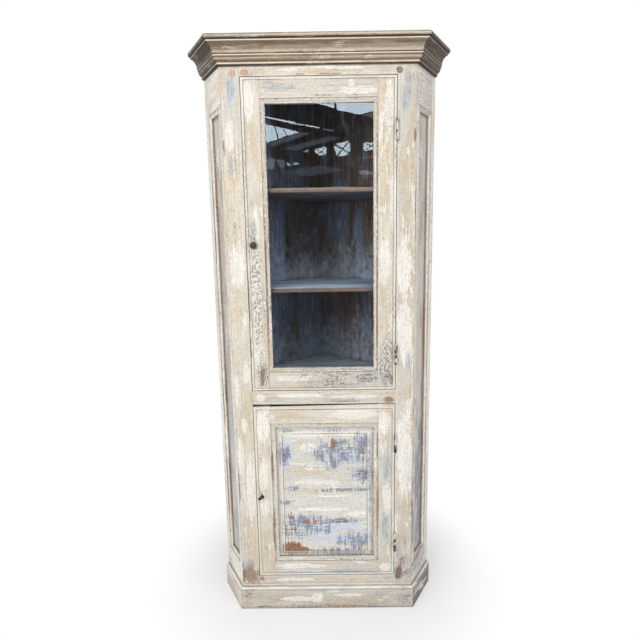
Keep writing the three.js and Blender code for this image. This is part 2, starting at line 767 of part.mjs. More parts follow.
function fieldedPanel(inner) {
  const { width, panelFace, grooveDepth } = DOOR_PANEL_MOULDING;
  const tongue = width - grooveDepth + JOINT_GAP;
  const ring = (inset, y) => [
    at(inner.left + inset, y, inner.bottom + inset),
    at(inner.right - inset, y, inner.bottom + inset),
    at(inner.right - inset, y, inner.top - inset),
    at(inner.left + inset, y, inner.top - inset),
  ];
  const fieldFace = panelFace - FIELD_RISE;
  const shoulder = panelFace - FIELD_RISE / 2;
  return loft([
    ring(tongue, panelFace + DOOR_PANEL_TONGUE),
    ring(tongue, panelFace),
    ring(width, panelFace),
    ring(width + FIELD_MARGIN, shoulder),
    ring(width + FIELD_MARGIN + FIELD_SLOPE_WIDTH, fieldFace),
  ]);
}

function buildLowerDoor() {
  const outline = mouldingOutline(DOOR_PANEL_MOULDING, DOOR_PANEL_TONGUE, DOOR_THICKNESS);
  const holeRadius = KEY_SHANK_RADIUS + JOINT_GAP;
  const slotHalf = KEY_BIT_THICKNESS / 2 + JOINT_GAP;
  const backOfCut = DOOR_THICKNESS + CUT_OVERRUN;
  const keyhole = [
    roundBar(holeRadius, at(keyX, -CUT_OVERRUN, keyLevel), at(keyX, backOfCut, keyLevel)),
    block(
      keyX - slotHalf, keyX + slotHalf, -CUT_OVERRUN, backOfCut,
      keyLevel - KEY_BIT_RADIUS - JOINT_GAP, keyLevel,
    ),
  ];
  const inner = buildDoor('lower_door', lowerDoor, outline, {
    left: keyhole,
    right: doorLeafPocket(lowerDoorHinges),
  });
  add('lower_door_panel', 'door', fieldedPanel(inner), 'lower_door');
  for (const [index, level] of lowerDoorHinges.entries()) {
    addHinge(`lower_hinge_${index + 1}`, level, 'lower_door');
  }
}

// Knob and latch: a turned knob on an iron spindle that carries a bar behind the door
function buildLatch() {
  const socketDepth = KNOB_LENGTH / 2;
  const socketRadius = SPINDLE_RADIUS + JOINT_GAP;
  const neckRadius = KNOB_RADIUS * KNOB_NECK_SHARE;
  const profile = [
    plan(0, -KNOB_LENGTH),
    ...quarterArc(
      plan(0, -KNOB_LENGTH), plan(KNOB_RADIUS, -KNOB_LENGTH / 2), plan(0, -KNOB_LENGTH / 2),
    ).slice(1),
    ...quarterArc(
      plan(KNOB_RADIUS, -KNOB_LENGTH / 2), plan(neckRadius, -KNOB_LENGTH / 6),
      plan(neckRadius, -KNOB_LENGTH / 2),
    ).slice(1),
    plan(neckRadius, -JOINT_GAP),
    plan(socketRadius, -JOINT_GAP),
    plan(socketRadius, -socketDepth),
    plan(0, -socketDepth),
  ];
  const knob = new THREE.LatheGeometry(profile, ROUND_STEPS).translate(knobX, 0, knobLevel);
  add('knob', 'knob', knob, 'latch');
  const barFront = DOOR_THICKNESS + LATCH_STANDOFF;
  const half = LATCH_WIDTH / 2;
  const straight = LATCH_REACH - half;
  const bar = facing([
    plan(knobX + half, knobLevel),
    ...quarterArc(
      plan(knobX + half, knobLevel), plan(knobX, knobLevel + half), plan(knobX, knobLevel),
    ).slice(1),
    ...quarterArc(
      plan(knobX, knobLevel + half), plan(knobX - half, knobLevel), plan(knobX, knobLevel),
    ).slice(1),
    ...quarterArc(
      plan(knobX - half, knobLevel - straight), plan(knobX, knobLevel - LATCH_REACH),
      plan(knobX, knobLevel - straight),
    ),
    ...quarterArc(
      plan(knobX, knobLevel - LATCH_REACH), plan(knobX + half, knobLevel - straight),
      plan(knobX, knobLevel - straight),
    ).slice(1),
  ], barFront, barFront + LATCH_THICKNESS);
  const spindle = roundBar(
    SPINDLE_RADIUS,
    at(knobX, -socketDepth + JOINT_GAP, knobLevel),
    at(knobX, barFront + LATCH_THICKNESS / 2, knobLevel),
  );
  add('latch_bar', 'iron', shaped(bar, { add: [spindle] }), 'latch');
}

// Lock: an iron case on the back of the door, a sliding bolt and the key that drives it
function buildLock() {
  const caseLeft = lowerDoor.left + LOCK_INSET;
  const caseRight = caseLeft + LOCK_WIDTH;
  const caseBottom = keyLevel - LOCK_HEIGHT / 2 + BOLT_HEIGHT / 2;
  const caseTop = caseBottom + LOCK_HEIGHT;
  const caseBack = DOOR_THICKNESS + LOCK_DEPTH;
  const boltFront = DOOR_THICKNESS + LOCK_DEPTH / 2 - BOLT_THICKNESS;
  const boltBottom = keyLevel + KEY_BIT_RADIUS - BOLT_DIP;
  const boltLeft = caseLeft - LOCK_WALL;
  const hollow = block(
    caseLeft + LOCK_WALL, caseRight - LOCK_WALL,
    DOOR_THICKNESS - CUT_OVERRUN, caseBack - LOCK_WALL,
    caseBottom + LOCK_WALL, caseTop - LOCK_WALL,
  );
  const mouth = block(
    caseLeft - CUT_OVERRUN, caseLeft + LOCK_WALL * 2,
    boltFront - JOINT_GAP, boltFront + BOLT_THICKNESS + JOINT_GAP,
    boltBottom - JOINT_GAP, boltBottom + BOLT_HEIGHT + JOINT_GAP,
  );
  add('lock_case', 'iron', shaped(
    block(caseLeft, caseRight, DOOR_THICKNESS, caseBack, caseBottom, caseTop),
    { cut: [hollow, mouth] },
  ), 'lower_door');
  const talonLeft = keyX + KEY_BIT_THICKNESS;
  const talon = block(
    talonLeft, talonLeft + BOLT_TALON_WIDTH,
    boltFront - CUT_OVERRUN, boltFront + BOLT_THICKNESS + CUT_OVERRUN,
    boltBottom - CUT_OVERRUN, keyLevel + KEY_BIT_RADIUS + JOINT_GAP * 4,
  );
  add('lock_bolt', 'iron', shaped(
    block(
      boltLeft, boltLeft + BOLT_LENGTH, boltFront, boltFront + BOLT_THICKNESS,
      boltBottom, boltBottom + BOLT_HEIGHT,
    ),
    { cut: [talon] },
  ), 'lock_bolt');
  add('key', 'iron', keyGeometry(boltFront), 'key');
}

function keyGeometry(bitFront) {
  const tilt = THREE.MathUtils.degToRad(KEY_REST_DEGREES);
  const shank = roundBar(
    KEY_SHANK_RADIUS, at(0, -KEY_REACH, 0), at(0, bitFront + KEY_BIT_LENGTH, 0), KNUCKLE_STEPS,
  );
  const half = KEY_BIT_THICKNESS / 2;
  const bit = block(
    0, KEY_BIT_RADIUS, bitFront - JOINT_GAP, bitFront + KEY_BIT_LENGTH - JOINT_GAP, -half, half,
  );
  const bow = new THREE.TorusGeometry(BOW_RADIUS, BOW_WIRE_RADIUS, KNUCKLE_STEPS / 2, ROUND_STEPS);
  bow.translate(0, -KEY_REACH - BOW_RADIUS, 0);
  const collar = roundBar(
    KEY_SHANK_RADIUS + BOW_WIRE_RADIUS / 2,
    at(0, -KEY_REACH + BOW_WIRE_RADIUS, 0), at(0, -KEY_REACH + BOW_WIRE_RADIUS * 2, 0),
    KNUCKLE_STEPS,
  );
  const geometry = shaped(shank, { add: [bit, bow, collar] });
  geometry.rotateY(-tilt);
  return geometry.translate(keyX, 0, keyLevel);
}

buildFaceFrame();
buildCants();
buildWalls();
buildCornerFillet();
buildBoards();
buildCladding('cornice', 'cornice', corniceOutline());
buildCladding('plinth', 'face', plinthOutline());
buildUpperDoor();
buildLowerDoor();
buildLatch();
buildLock();

cupboard.position.y = -(backCorner.y - CORNICE_PROJECTION) / 2;

export default cupboard;
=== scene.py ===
"""The looks of an old painted corner cupboard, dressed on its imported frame.

Lengths are metres. Places on the front are given as (x, z, half width, half height) in millimetres.
"""

import math
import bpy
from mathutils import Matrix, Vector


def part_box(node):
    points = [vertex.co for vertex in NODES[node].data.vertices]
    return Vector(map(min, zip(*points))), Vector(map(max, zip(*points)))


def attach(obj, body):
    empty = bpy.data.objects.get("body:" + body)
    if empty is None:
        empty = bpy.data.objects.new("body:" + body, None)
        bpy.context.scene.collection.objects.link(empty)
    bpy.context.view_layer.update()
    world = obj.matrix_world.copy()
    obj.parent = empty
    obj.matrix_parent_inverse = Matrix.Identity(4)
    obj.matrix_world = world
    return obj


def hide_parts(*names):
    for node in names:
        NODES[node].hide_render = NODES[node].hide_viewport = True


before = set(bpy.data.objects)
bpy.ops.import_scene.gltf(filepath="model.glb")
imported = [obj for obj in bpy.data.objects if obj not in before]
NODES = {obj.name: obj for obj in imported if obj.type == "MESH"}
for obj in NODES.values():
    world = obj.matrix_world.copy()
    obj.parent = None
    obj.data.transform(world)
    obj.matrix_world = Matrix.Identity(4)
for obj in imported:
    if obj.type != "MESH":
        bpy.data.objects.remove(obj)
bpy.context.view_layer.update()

from types import SimpleNamespace

import bmesh
import bpy
from mathutils import Matrix, Vector
from mathutils.bvhtree import BVHTree

MM = 0.001
FACE_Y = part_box("mid_rail")[0].y
SILLS = [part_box(board)[1].z for board in ("cupboard_floor", "shelf_lower")]
UP, BACK = Vector((0, 0, 1)), Vector((0, 1, 0))


# Colours, as they are seen on a screen: red, green and blue, in two hexadecimal digits each

def seen(colour):
    """A colour turned into light."""
    share = [int(colour[start:start + 2], 16) / 255 for start in (0, 2, 4)]
    light = [s / 12.92 if s <= 0.04045 else ((s + 0.055) / 1.055) ** 2.4 for s in share]
    return (*light, 1.0)


def toned(colour, tone):
    """A colour made darker or lighter."""
    return tuple(value * tone for value in seen(colour)[:3]) + (1.0,)


CREAM = "dbd3c3"
# The whiter patches of paint, and also the painted highlights on beads, fillets and edges.
WHITE_PAINT_AND_HIGHLIGHT = "ece8df"
TAN = "d4c4ac"
COOL_GREY = "c4c6c8"
UNDERCOAT_BLUE = "a4aab4"
SCRUBBED_BLUE = "7e88a4"
PALE_BLUE = "cbd1dc"
SLATE = "828790"
BARE_PINE = "b6a092"
DARK_PINE = "866c5e"
PEACH = "dbb89c"
ORANGE_PINE = "966846"
# Painted shade, with some grime, in quirks and grooves.
QUIRK_SHADE_AND_DIRT = "685648"
# Painted shade, with some grime, in corners and inner edges, under the cornice, along the plinth's foot and inside the
# cants' sights.
SHADE_AND_DIRT = "463930"
SPECK_BROWN = "685246"
GRIME = "626a76"


# How nodes are joined

class Amount:
    """What a node works out at each point, so that sums can be written as sums."""

    def __init__(self, tree, socket):
        self.tree, self.socket = tree, socket

    def __mul__(self, other):
        return Product(self.tree, self, other)

    def __rmul__(self, other):
        return Product(self.tree, other, self)

    def __add__(self, other):
        return self.tree.maths("ADD", self, other)

    def __sub__(self, other):
        return self.tree.maths("SUBTRACT", self, other)

    def __rsub__(self, other):
        return self.tree.maths("SUBTRACT", other, self)

    def __abs__(self):
        return self.tree.maths("ABSOLUTE", self)

    def eased(self, low, high, start=0.0, end=1.0):
        """This amount from low to high, eased into start to end."""
        return self.tree.add("ShaderNodeMapRange", (self, low, high, start, end), interpolation_type="SMOOTHSTEP")


class Product(Amount):
    """Two amounts multiplied: one node, also where a third is added."""

    def __init__(self, tree, *factors):
        self.tree, self.factors, self.made = tree, factors, None

    @property
    def socket(self):
        self.made = self.made or self.tree.maths("MULTIPLY", *self.factors).socket
        return self.made

    def __add__(self, other):
        return self.tree.maths("MULTIPLY_ADD", *self.factors, other)


class Tree:
    """A node tree while it is built."""

    def __init__(self, tree):
        self.tree = tree
        tree.nodes.clear()

    def node(self, kind, inputs=(), **settings):
        """A new node; inputs are values, colours or amounts, in order or by number or name."""
        node = self.tree.nodes.new(kind)
        for label, value in settings.items():
            setattr(node, label, value)
        for key, value in inputs.items() if isinstance(inputs, dict) else enumerate(inputs):
            if isinstance(value, Amount):
                self.tree.links.new(value.socket, node.inputs[key])
            else:
                node.inputs[key].default_value = seen(value) if isinstance(value, str) else value
        return node

    def add(self, kind, inputs=(), answer=0, **settings):
        """What a new node works out."""
        return Amount(self, self.node(kind, inputs, **settings).outputs[answer])

    def maths(self, operation, *values):
        return self.add("ShaderNodeMath", values, operation=operation)

    def most(self, *values):
        found = values[0]
        for value in values[1:]:
            found = self.maths("MAXIMUM", found, value)
        return found

    def vectors(self, operation, *values, answer="Vector"):
        return self.add("ShaderNodeVectorMath", values, answer, operation=operation)

    def length(self, vector):
        return self.vectors("LENGTH", vector, answer="Value")

    def apart(self, vector):
        """A vector's three numbers."""
        return [Amount(self, socket) for socket in self.node("ShaderNodeSeparateXYZ", (vector,)).outputs]


def make_group(name, kind, asked, answer):
    """An empty node group, and the amounts that it is given, one for each of asked."""
    group = bpy.data.node_groups.new(name, kind)
    for way, sockets in (("INPUT", asked), ("OUTPUT", [answer])):
        for label, sort in sockets:
            group.interface.new_socket(label, in_out=way, socket_type="NodeSocket" + sort)
    tree = Tree(group)
    return tree, [Amount(tree, socket) for socket in tree.node("NodeGroupInput").outputs[:len(asked)]]


def make_worn_place():
    """A node group that says how far inside an oval place a point lies, at most 1 at its middle."""
    tree, (place, middle, reach, so_far) = make_group(
        "worn_place", "ShaderNodeTree",
        (("Place", "Vector"), ("Middle", "Vector"), ("Reach", "Vector"), ("So far", "Float")), ("Depth", "Float"))
    share = tree.vectors("MULTIPLY", tree.vectors("SUBTRACT", place, middle), reach)
    tree.node("NodeGroupOutput", {"Depth": tree.most(1.0 - tree.length(share), so_far)})
    return tree.tree


WORN_PLACE = make_worn_place()
FINISH = {}


# How a finish is mixed

class Finish(Tree):
    """One finish while it is being mixed: its material, its colour so far and its worn places."""

    def __init__(self, name, turn=0.0, upright=True, places=None):
        self.material = bpy.data.materials.new(name)
        self.material.use_nodes = True
        super().__init__(self.material.node_tree)
        self.name, self.upright, self.places, self.colour = name, upright, places or {}, None
        self.spot = self.turned = self.add("ShaderNodeTexCoord", answer="Object")
        if turn:
            self.turned = self.add("ShaderNodeMapping", {"Vector": self.spot, "Rotation": (0.0, 0.0, turn)})

    def noise(self, along, across, detail=3.0, roughness=0.55, distortion=0.0, seed=0.0):
        """Noise drawn out along the grain; along and across are its waves in each metre."""
        scales = (across, across, along) if self.upright else (along, across, across)
        place = self.vectors("MULTIPLY_ADD", self.turned, scales, (seed, seed * 1.7, seed * 2.3))
        return self.add("ShaderNodeTexNoise", {"Vector": place, "Scale": 1.0, "Detail": detail,
                                               "Roughness": roughness, "Distortion": distortion})

    def over(self, share, under, top):
        """Colour top laid over colour under where share says so."""
        return self.add("ShaderNodeMix", {0: share, 6: under, 7: top}, 2, data_type="RGBA")

    def lay(self, top, share):
        """Lays one more colour where share says so."""
        self.colour = self.over(share, self.colour, top)

    def times(self, colour, amount):
        plain = seen(colour)[:3] if isinstance(colour, str) else colour
        return self.add("ShaderNodeVectorMath", {0: plain, "Scale": amount}, operation="SCALE")

    def shade(self, amount):
        self.colour = self.times(self.colour, amount)

    def millimetres(self, x, z):
        """How far a point lies from a place on the board, in millimetres."""
        return self.vectors("MULTIPLY_ADD", self.turned, (1000.0, 0.0, 1000.0), (-x, 0.0, -z))

    def outside(self, x, z, half_width, half_height):
        """Millimetres outside a rectangle's edge, less than 0 inside it."""
        place = self.vectors("ABSOLUTE", self.millimetres(x, z))
        past_x, _, past_z = self.apart(self.vectors("SUBTRACT", place, (half_width, 0.0, half_height)))
        return self.most(past_x, past_z)

    def band(self, value, low, high):
        """1 where value lies from low to high, fading over a little at both."""
        fade = 0.4
        return value.eased(low - fade, low + fade) * value.eased(high + fade, high - fade)

    def knots(self, seed):
        """How far a point lies from the nearest knot, in cells of the pattern: some cells have none."""
        x, y, z = self.apart(self.turned)
        across, along = (x + y, z) if self.upright else (y + z, x)
        flat = self.add("ShaderNodeCombineXYZ", (across * 4.4 + seed, along * 2.7 + seed * 1.9))
        cells = self.node("ShaderNodeTexVoronoi", {"Vector": flat, "Scale": 1.0}, voronoi_dimensions="2D").outputs
        chance = self.apart(Amount(self, cells["Color"]))[0]
        return Amount(self, cells["Distance"]) + self.maths("GREATER_THAN", 0.45, chance)

    def ragged(self, places, roughening, reach, softness):
        """Oval places with torn edges."""
        found = -1.0
        for x, z, half_width, half_height in places:
            found = self.add("ShaderNodeGroup", {
                "Place": self.spot, "Middle": (x * MM, 0.0, z * MM),
                "Reach": (1 / (half_width * MM), 0.0, 1 / (half_height * MM)), "So far": found}, node_tree=WORN_PLACE)
        return ((roughening - 0.5) * (reach * 5.0) + found).eased(0.0, softness + 0.15) if places else 0.0

    def worn(self, kind, *how):
        """The finish's own places of one kind."""
        return self.ragged(self.places.get(kind, ()), *how)

    def arrises(self, radius):
        """Where the surface turns sharply: 0 on the flat, 1 on an edge. Paint wears there, and painted highlights and
        shade follow it.
        """
        bevel = self.add("ShaderNodeBevel", {"Radius": radius}, samples=4)
        flat = self.add("ShaderNodeNewGeometry", answer="Normal")
        return self.vectors("DOT_PRODUCT", bevel, flat, answer="Value").eased(0.995, 0.86)

    def corners(self, distance):
        """How shut in a point is, by ambient occlusion: 0 in the open, 1 deep in a corner. Finishes darken by it as
        painted shade.
        """
        return self.add("ShaderNodeAmbientOcclusion", {"Distance": distance}, "AO", samples=6).eased(0.85, 0.35)

    def coat(self, roughness, height, depth, strength, more=None):
        """The shader of the colour so far, with height as a relief of that depth."""
        normal = self.add("ShaderNodeBump", {"Strength": strength, "Distance": depth, "Height": height})
        return self.add("ShaderNodeBsdfPrincipled", {
            "Base Color": self.colour, "Roughness": roughness, "Normal": normal, **(more or {})})

    def done(self, shader):
        self.node("ShaderNodeOutputMaterial", {"Surface": shader})
        FINISH[self.name] = self.material


def pine(mix, light, dark, seed=0.0, knotty=False):
    """Bare pine: soft light wood with darker lines along the grain, and the height of its grain."""
    lines = mix.noise(7, 190, 3.0, 0.6, 0.25, seed)
    slow = mix.noise(1.7, 48, 4.0, 0.64, 0.5, seed + 4)
    colour = mix.over(slow.eased(0.36, 0.66), light, dark)
    colour = mix.over(lines.eased(0.42, 0.66) * 0.55, colour, dark)
    if knotty:
        away = (slow - 0.5) * 0.08 + mix.knots(seed)
        colour = mix.over(away.eased(0.1, 0.035) * 0.6, colour, dark)
        colour = mix.over(away.eased(0.044, 0.03) * 0.85, colour, "463126")
    return colour, lines


# Old layers of paint on pine, rubbed back: wood, blue-grey undercoat, cream, tan stains and whiter patches.
# A level is the height of noise above which that layer shows, so a higher level shows less of it. A rim is a
# rectangle (x, z, half width, half height) with bands round it, and a course is a level line; their bands and
# lines are mostly painted shade and painted highlights. Each says how strong it is and its colour.

OLD_PAINT = dict(
    turn=0.0, upright=True, seed=0.0, scrubbed=False, places=None, rims=(), courses=(), base=CREAM, tan=TAN,
    white=WHITE_PAINT_AND_HIGHLIGHT, blue=UNDERCOAT_BLUE, wood=BARE_PINE, deep=DARK_PINE, rust=PEACH, haze=PALE_BLUE,
    tan_level=0.56, white_level=0.59, blue_level=0.67, bare_level=0.67, edge_wear=0.8, edge_light=0.5, dirt=0.5,
    streaks=1.2, lines=0.45, grit=0.85, grit_level=0.59)


def find_patterns(mix, seed, scrubbed):
    """The noises and the edges that paint wears along."""
    by = SimpleNamespace(
        brushed=mix.noise(11, 260, 4.0, 0.66, 0.0, seed), cloud=mix.noise(3.0, 11, 4.0, 0.6, 0.5, seed + 11),
        drift=mix.noise(5.0, 17, 5.0, 0.66, 0.6, seed + 23), region=mix.noise(1.6, 4.0, 1.0, 0.5, 0.0, seed + 31),
        fine=mix.noise(420, 620, 2.0, 0.6, 0.0, seed + 5), flakes=mix.noise(105, 215, 5.0, 0.74, 0.4, seed + 67),
        shut=mix.corners(0.016))
    if scrubbed:
        level = mix.noise(150, 22, 4.0, 0.66, 0.0, seed + 41)
        cross = mix.noise(34, 190, 4.0, 0.66, 0.0, seed + 43)
        by.chips, by.edges = level * 0.5 + cross * 0.5, level * 0.75 + cross * 0.25
    else:
        by.chips = mix.noise(36, 150, 5.0, 0.74, 0.3, seed + 41)
        by.edges = by.chips * 0.6 + by.flakes * 0.4
    by.torn = by.edges * 0.62 + by.drift * 0.38
    # Shut-in points and inner edges take painted shade; outer edges take painted highlights and wear.
    turning = mix.arrises(0.0028)
    by.ridge, by.crease = turning * (1.0 - by.shut), turning * by.shut
    by.broken = mix.noise(10, 70, 4.0, 0.7, 0.0, seed + 91).eased(0.32, 0.52, 0.25, 1.0)
    return by


def find_layers(mix, by, look):
    """Where each layer shows."""
    share = SimpleNamespace()
    share.tan = mix.most(
        (by.brushed * 0.3 + (by.cloud - 0.15)).eased(look.tan_level - 0.04, look.tan_level + 0.05),
        mix.worn("tan", by.drift, 0.8, 0.5))
    share.white = mix.most(
        (by.brushed * 0.35 + (by.drift - 0.175)).eased(look.white_level - 0.012, look.white_level + 0.02),
        mix.worn("white", by.torn, 0.85, 0.02))
    if look.scrubbed:
        share.blue = mix.worn("blue", by.torn, 1.5, 0.4) * by.chips.eased(0.45, 0.51, 0.0, 0.88)
    else:
        grown = by.region * 0.5 + (by.chips - 0.25)
        share.blue = mix.most(
            grown.eased(look.blue_level - 0.02, look.blue_level + 0.04, 0.0, 0.6),
            mix.worn("blue", by.drift, 0.8, 0.7) * by.chips.eased(0.38, 0.58, 0.12, 0.8))
    rubbed = mix.noise(8, 50, 4.0, 0.7, 0.0, look.seed + 71)
    worn_ridge = by.ridge * rubbed.eased(0.6 - 0.16 * look.edge_wear, 0.66 - 0.14 * look.edge_wear)
    loose = by.drift * 0.5 + (by.flakes - 0.25)
    share.bare = mix.most(loose.eased(look.bare_level - 0.01, look.bare_level + 0.015),
                          worn_ridge * min(1.0, look.edge_wear), mix.worn("bare", by.torn, 1.7, 0.1))
    return share


def lay_layers(mix, by, share, look, wood):
    """The coats one over another, and the wood where they are gone."""
    mix.colour = mix.over(share.tan, look.base, look.tan)
    mix.lay(COOL_GREY, by.chips.eased(0.54, 0.63) * 0.5)
    mix.lay(look.white, share.white * by.chips.eased(0.3, 0.5, 0.65, 0.92))
    if "haze" in mix.places:
        mix.lay(look.haze, mix.worn("haze", by.drift, 1.2, 0.8) * by.chips.eased(0.36, 0.54, 0.5, 0.95))
    # Painted highlight along the outer edges.
    mix.lay(look.white, by.ridge * look.edge_light)
    mix.lay(mix.over(by.flakes.eased(0.48, 0.6), look.blue, mix.times(look.blue, 0.66)), share.blue)
    mix.lay(wood, share.bare)
    mix.lay(SPECK_BROWN, mix.worn("specks", by.drift, 0.7, 0.6) * by.flakes.eased(0.49, 0.53) * 0.8)


def lay_stains(mix, by, look, grain):
    """Rusty wood, grime and knots, in the places that have them."""
    if "orange" in mix.places:
        stained = mix.over(grain.eased(0.42, 0.66), look.rust, mix.times(look.rust, 0.6))
        mix.lay(stained, mix.worn("orange", by.torn, 0.75, 0.1))
    if "grime" in mix.places:
        mix.lay(GRIME, mix.worn("grime", by.edges, 1.1, 0.3) * 0.85)
    for x, z, size in mix.places.get("knot", ()):
        away = (by.drift - 0.5) * 9.0 + mix.length(mix.millimetres(x, z))
        mix.lay("684a3a", away.eased(size * 1.1, size * 0.8) * 0.9)
        mix.lay("9e826e", away.eased(size * 0.66, size * 0.4))


def lay_grain(mix, by, look):
    """The lines of the grain and the grit that show through paint; gives the lines back."""
    threads = mix.noise(4, 430, 5.0, 0.74, 0.0, look.seed + 51)
    mix.lay(look.deep, threads.eased(0.57, 0.68) * look.lines)
    mix.lay(look.white, threads.eased(0.42, 0.32) * (look.lines * 0.8))
    coarse = mix.noise(170, 290, 3.0, 0.7, 0.3, look.seed + 77)
    mix.lay(look.deep, coarse.eased(look.grit_level, look.grit_level + 0.07) * look.grit)
    mix.lay(look.white, coarse.eased(0.4, 0.3) * (look.grit * 0.9))
    if "scratched" in mix.places:
        wander = abs(mix.noise(28, 60, 2.0, 0.5, 1.4, look.seed + 81) - 0.5)
        mix.lay(look.deep, mix.worn("scratched", by.drift, 0.5, 0.4) * 0.7 * wander.eased(0.018, 0.006))
    mix.shade(by.brushed.eased(0.3, 0.7, 1 - 0.1 * look.streaks, 1 + 0.07 * look.streaks))
    mix.shade(by.region.eased(0.3, 0.7, 0.95, 1.03))
    return threads


def lay_edges(mix, by, look):
    """The rims and the courses, lines of painted shade and highlight, and painted shade with some grime in corners and
    inner edges.
    """
    for x, z, half_width, half_height, bands in look.rims:
        out = mix.outside(x, z, half_width, half_height)
        for low, high, strength, tone in bands:
            mix.lay(tone, mix.band(out, low, high) * (by.broken * strength))
    height = mix.apart(mix.spot)[2]
    for level, half, strength, tone in look.courses:
        line = abs(height - level * MM).eased(half * MM, half * MM * 0.3)
        mix.lay(tone, line * mix.maths("MINIMUM", by.broken * strength, 1.0))
    # Painted shade, with some grime, where a point is shut in and along inner edges.
    mix.lay(SHADE_AND_DIRT, mix.most(by.shut * by.cloud.eased(0.3, 0.65, look.dirt, look.dirt * 0.5),
                               by.crease * (by.broken * min(1.0, look.dirt * 1.35))))


def painted(name, **asked):
    """A painted finish: asked is how it differs from OLD_PAINT."""
    look = SimpleNamespace(**OLD_PAINT | asked)
    mix = Finish(name, look.turn, look.upright, look.places)
    by = find_patterns(mix, look.seed, look.scrubbed)
    share = find_layers(mix, by, look)
    wood, grain = pine(mix, look.wood, look.deep, look.seed)
    lay_layers(mix, by, share, look, wood)
    lay_stains(mix, by, look, grain)
    threads = lay_grain(mix, by, look)
    lay_edges(mix, by, look)
    height = share.bare * -0.8 + by.brushed * 0.3
    for layer, rise in ((share.white, 0.25), (share.blue, -0.4), (by.fine, 0.12), (threads, 0.3),
                        (grain, share.bare * 0.35 + 0.08)):
        height = layer * rise + height
    roughness = share.bare * 0.16 + by.fine.eased(0.3, 0.7, 0.52, 0.66)
    mix.done(mix.coat(roughness, height, depth=0.0009, strength=0.8))


def old_wood(name, light, dark, turn=0.0, upright=True, wash=None, wash_level=0.55, seed=0.0, dirt=0.5,
             pale=None, knotty=True, sills=(), streaked=1.0):
    """Unpainted or thinly washed old wood, with painted shade where it is shut in, and paler just above each of sills.
    """
    mix = Finish(name, turn, upright)
    mix.colour, grain = pine(mix, light, dark, seed, knotty)
    brushed = mix.noise(9, 140, 4.0, 0.65, 0.2, seed + 3)
    cloud = mix.noise(2.5, 8, 4.0, 0.6, 0.4, seed + 9)
    streak = mix.noise(2.2, 75, 5.0, 0.7, 0.3, seed + 19)
    if wash:
        patchy = brushed * (0.5 * streaked) + (cloud - 0.25 * streaked)
        mix.lay(wash, patchy.eased(wash_level - 0.07, wash_level + 0.09) * streak.eased(0.35, 0.6, 0.85, 0.5))
    if pale:
        scuffs = mix.noise(16, 120, 5.0, 0.72, 0.4, seed + 15)
        mix.lay(pale, (cloud * 0.5 + (scuffs - 0.25)).eased(0.56, 0.68) * 0.45)
        smeared = mix.noise(24, 34, 7.0, 0.8, 0.1, seed + 27)
        for sill in sills:
            above = mix.apart(mix.spot)[2] - sill
            rise = (smeared - 0.5) * 0.9 + above
            mix.lay(pale, rise.eased(0.2, -0.05) * mix.maths("GREATER_THAN", above, -0.005) * 0.6)
    mix.shade(cloud.eased(0.3, 0.7, 0.84, 1.12))
    mix.shade(streak.eased(0.3, 0.7, 1 + 0.15 * streaked, 1 - 0.18 * streaked))
    # Painted shade where the wood is shut in.
    mix.lay(SHADE_AND_DIRT, mix.corners(0.03) * dirt)
    mix.done(mix.coat(brushed.eased(0.3, 0.7, 0.68, 0.86), grain * 0.6 + brushed * 0.4,
                      depth=0.0008, strength=0.7))


def iron_finish(name, dark, brown, metal=0.7, paint=None):
    """Old iron: dark, a little rusty, and daubed with paint where it was painted over."""
    mix = Finish(name)
    pits = mix.noise(900, 900, 4.0, 0.65)
    rust = mix.noise(150, 150, 3.0, 0.6, 0.0, 5.0).eased(0.5, 0.62)
    mix.colour = mix.over(rust, dark, brown)
    metallic = rust * -metal + metal
    if paint:
        daub = mix.noise(38, 90, 4.0, 0.7, 0.3, 9.0).eased(0.48, 0.505)
        mix.lay(paint, daub)
        metallic = metallic * (1.0 - daub)
    mix.done(mix.coat(pits.eased(0.3, 0.7, 0.42, 0.68), pits, depth=0.0002, strength=0.6,
                      more={"Metallic": metallic}))


def knob_finish(name, middle_x, middle_z):
    """A turned hardwood knob: dark brown, lighter at its rim, with fine turning rings."""
    mix = Finish(name)
    offset = mix.vectors("SUBTRACT", mix.spot, (middle_x, 0.0, middle_z))
    radius = mix.length(mix.vectors("MULTIPLY", offset, (1.0, 0.0, 1.0)))
    rings = mix.maths("SINE", radius * 5200.0)
    grain = mix.noise(60, 420, 3.0, 0.6, 0.4)
    mix.colour = mix.over(grain.eased(0.35, 0.65), "603c2e", "38221b")
    mix.lay("8e624a", mix.arrises(0.0015) * 0.5)
    mix.done(mix.coat(grain.eased(0.3, 0.7, 0.3, 0.46), rings * 0.15 + grain, depth=0.0002, strength=0.5))


def glass_finish(name):
    """Old drawn window glass: faintly green, a little wavy, and dusty in places. Lamps shine through it."""
    mix = Finish(name)
    waves = mix.noise(5, 9, 1.0, 0.5, 0.6)
    dusty = mix.noise(11, 26, 5.0, 0.66, 1.2, 8.0).eased(0.56, 0.74, 0.0, 0.03)
    smoke = mix.noise(38, 30, 6.0, 0.72, 1.6, 3.0)
    breathed = mix.ragged([(128, 1112, 78, 62), (-60, 1330, 150, 60)], smoke, 0.3, 1.4) * \
        smoke.eased(0.42, 0.66, 0.0, 0.05)
    film = mix.maths("ADD", breathed, dusty)
    mix.colour = "e0ebf4"
    glass = mix.coat(film.eased(0.0, 0.15, 0.003, 0.06), waves, depth=0.002, strength=0.03,
                     more={"Transmission Weight": 1.0 - film, "IOR": 1.5})
    through = mix.add("ShaderNodeBsdfTransparent", {"Color": (0.95, 0.97, 0.98, 1.0)})
    lamp_path = mix.add("ShaderNodeLightPath", answer="Is Shadow Ray")
    mix.done(mix.add("ShaderNodeMixShader", (lamp_path, glass, through)))


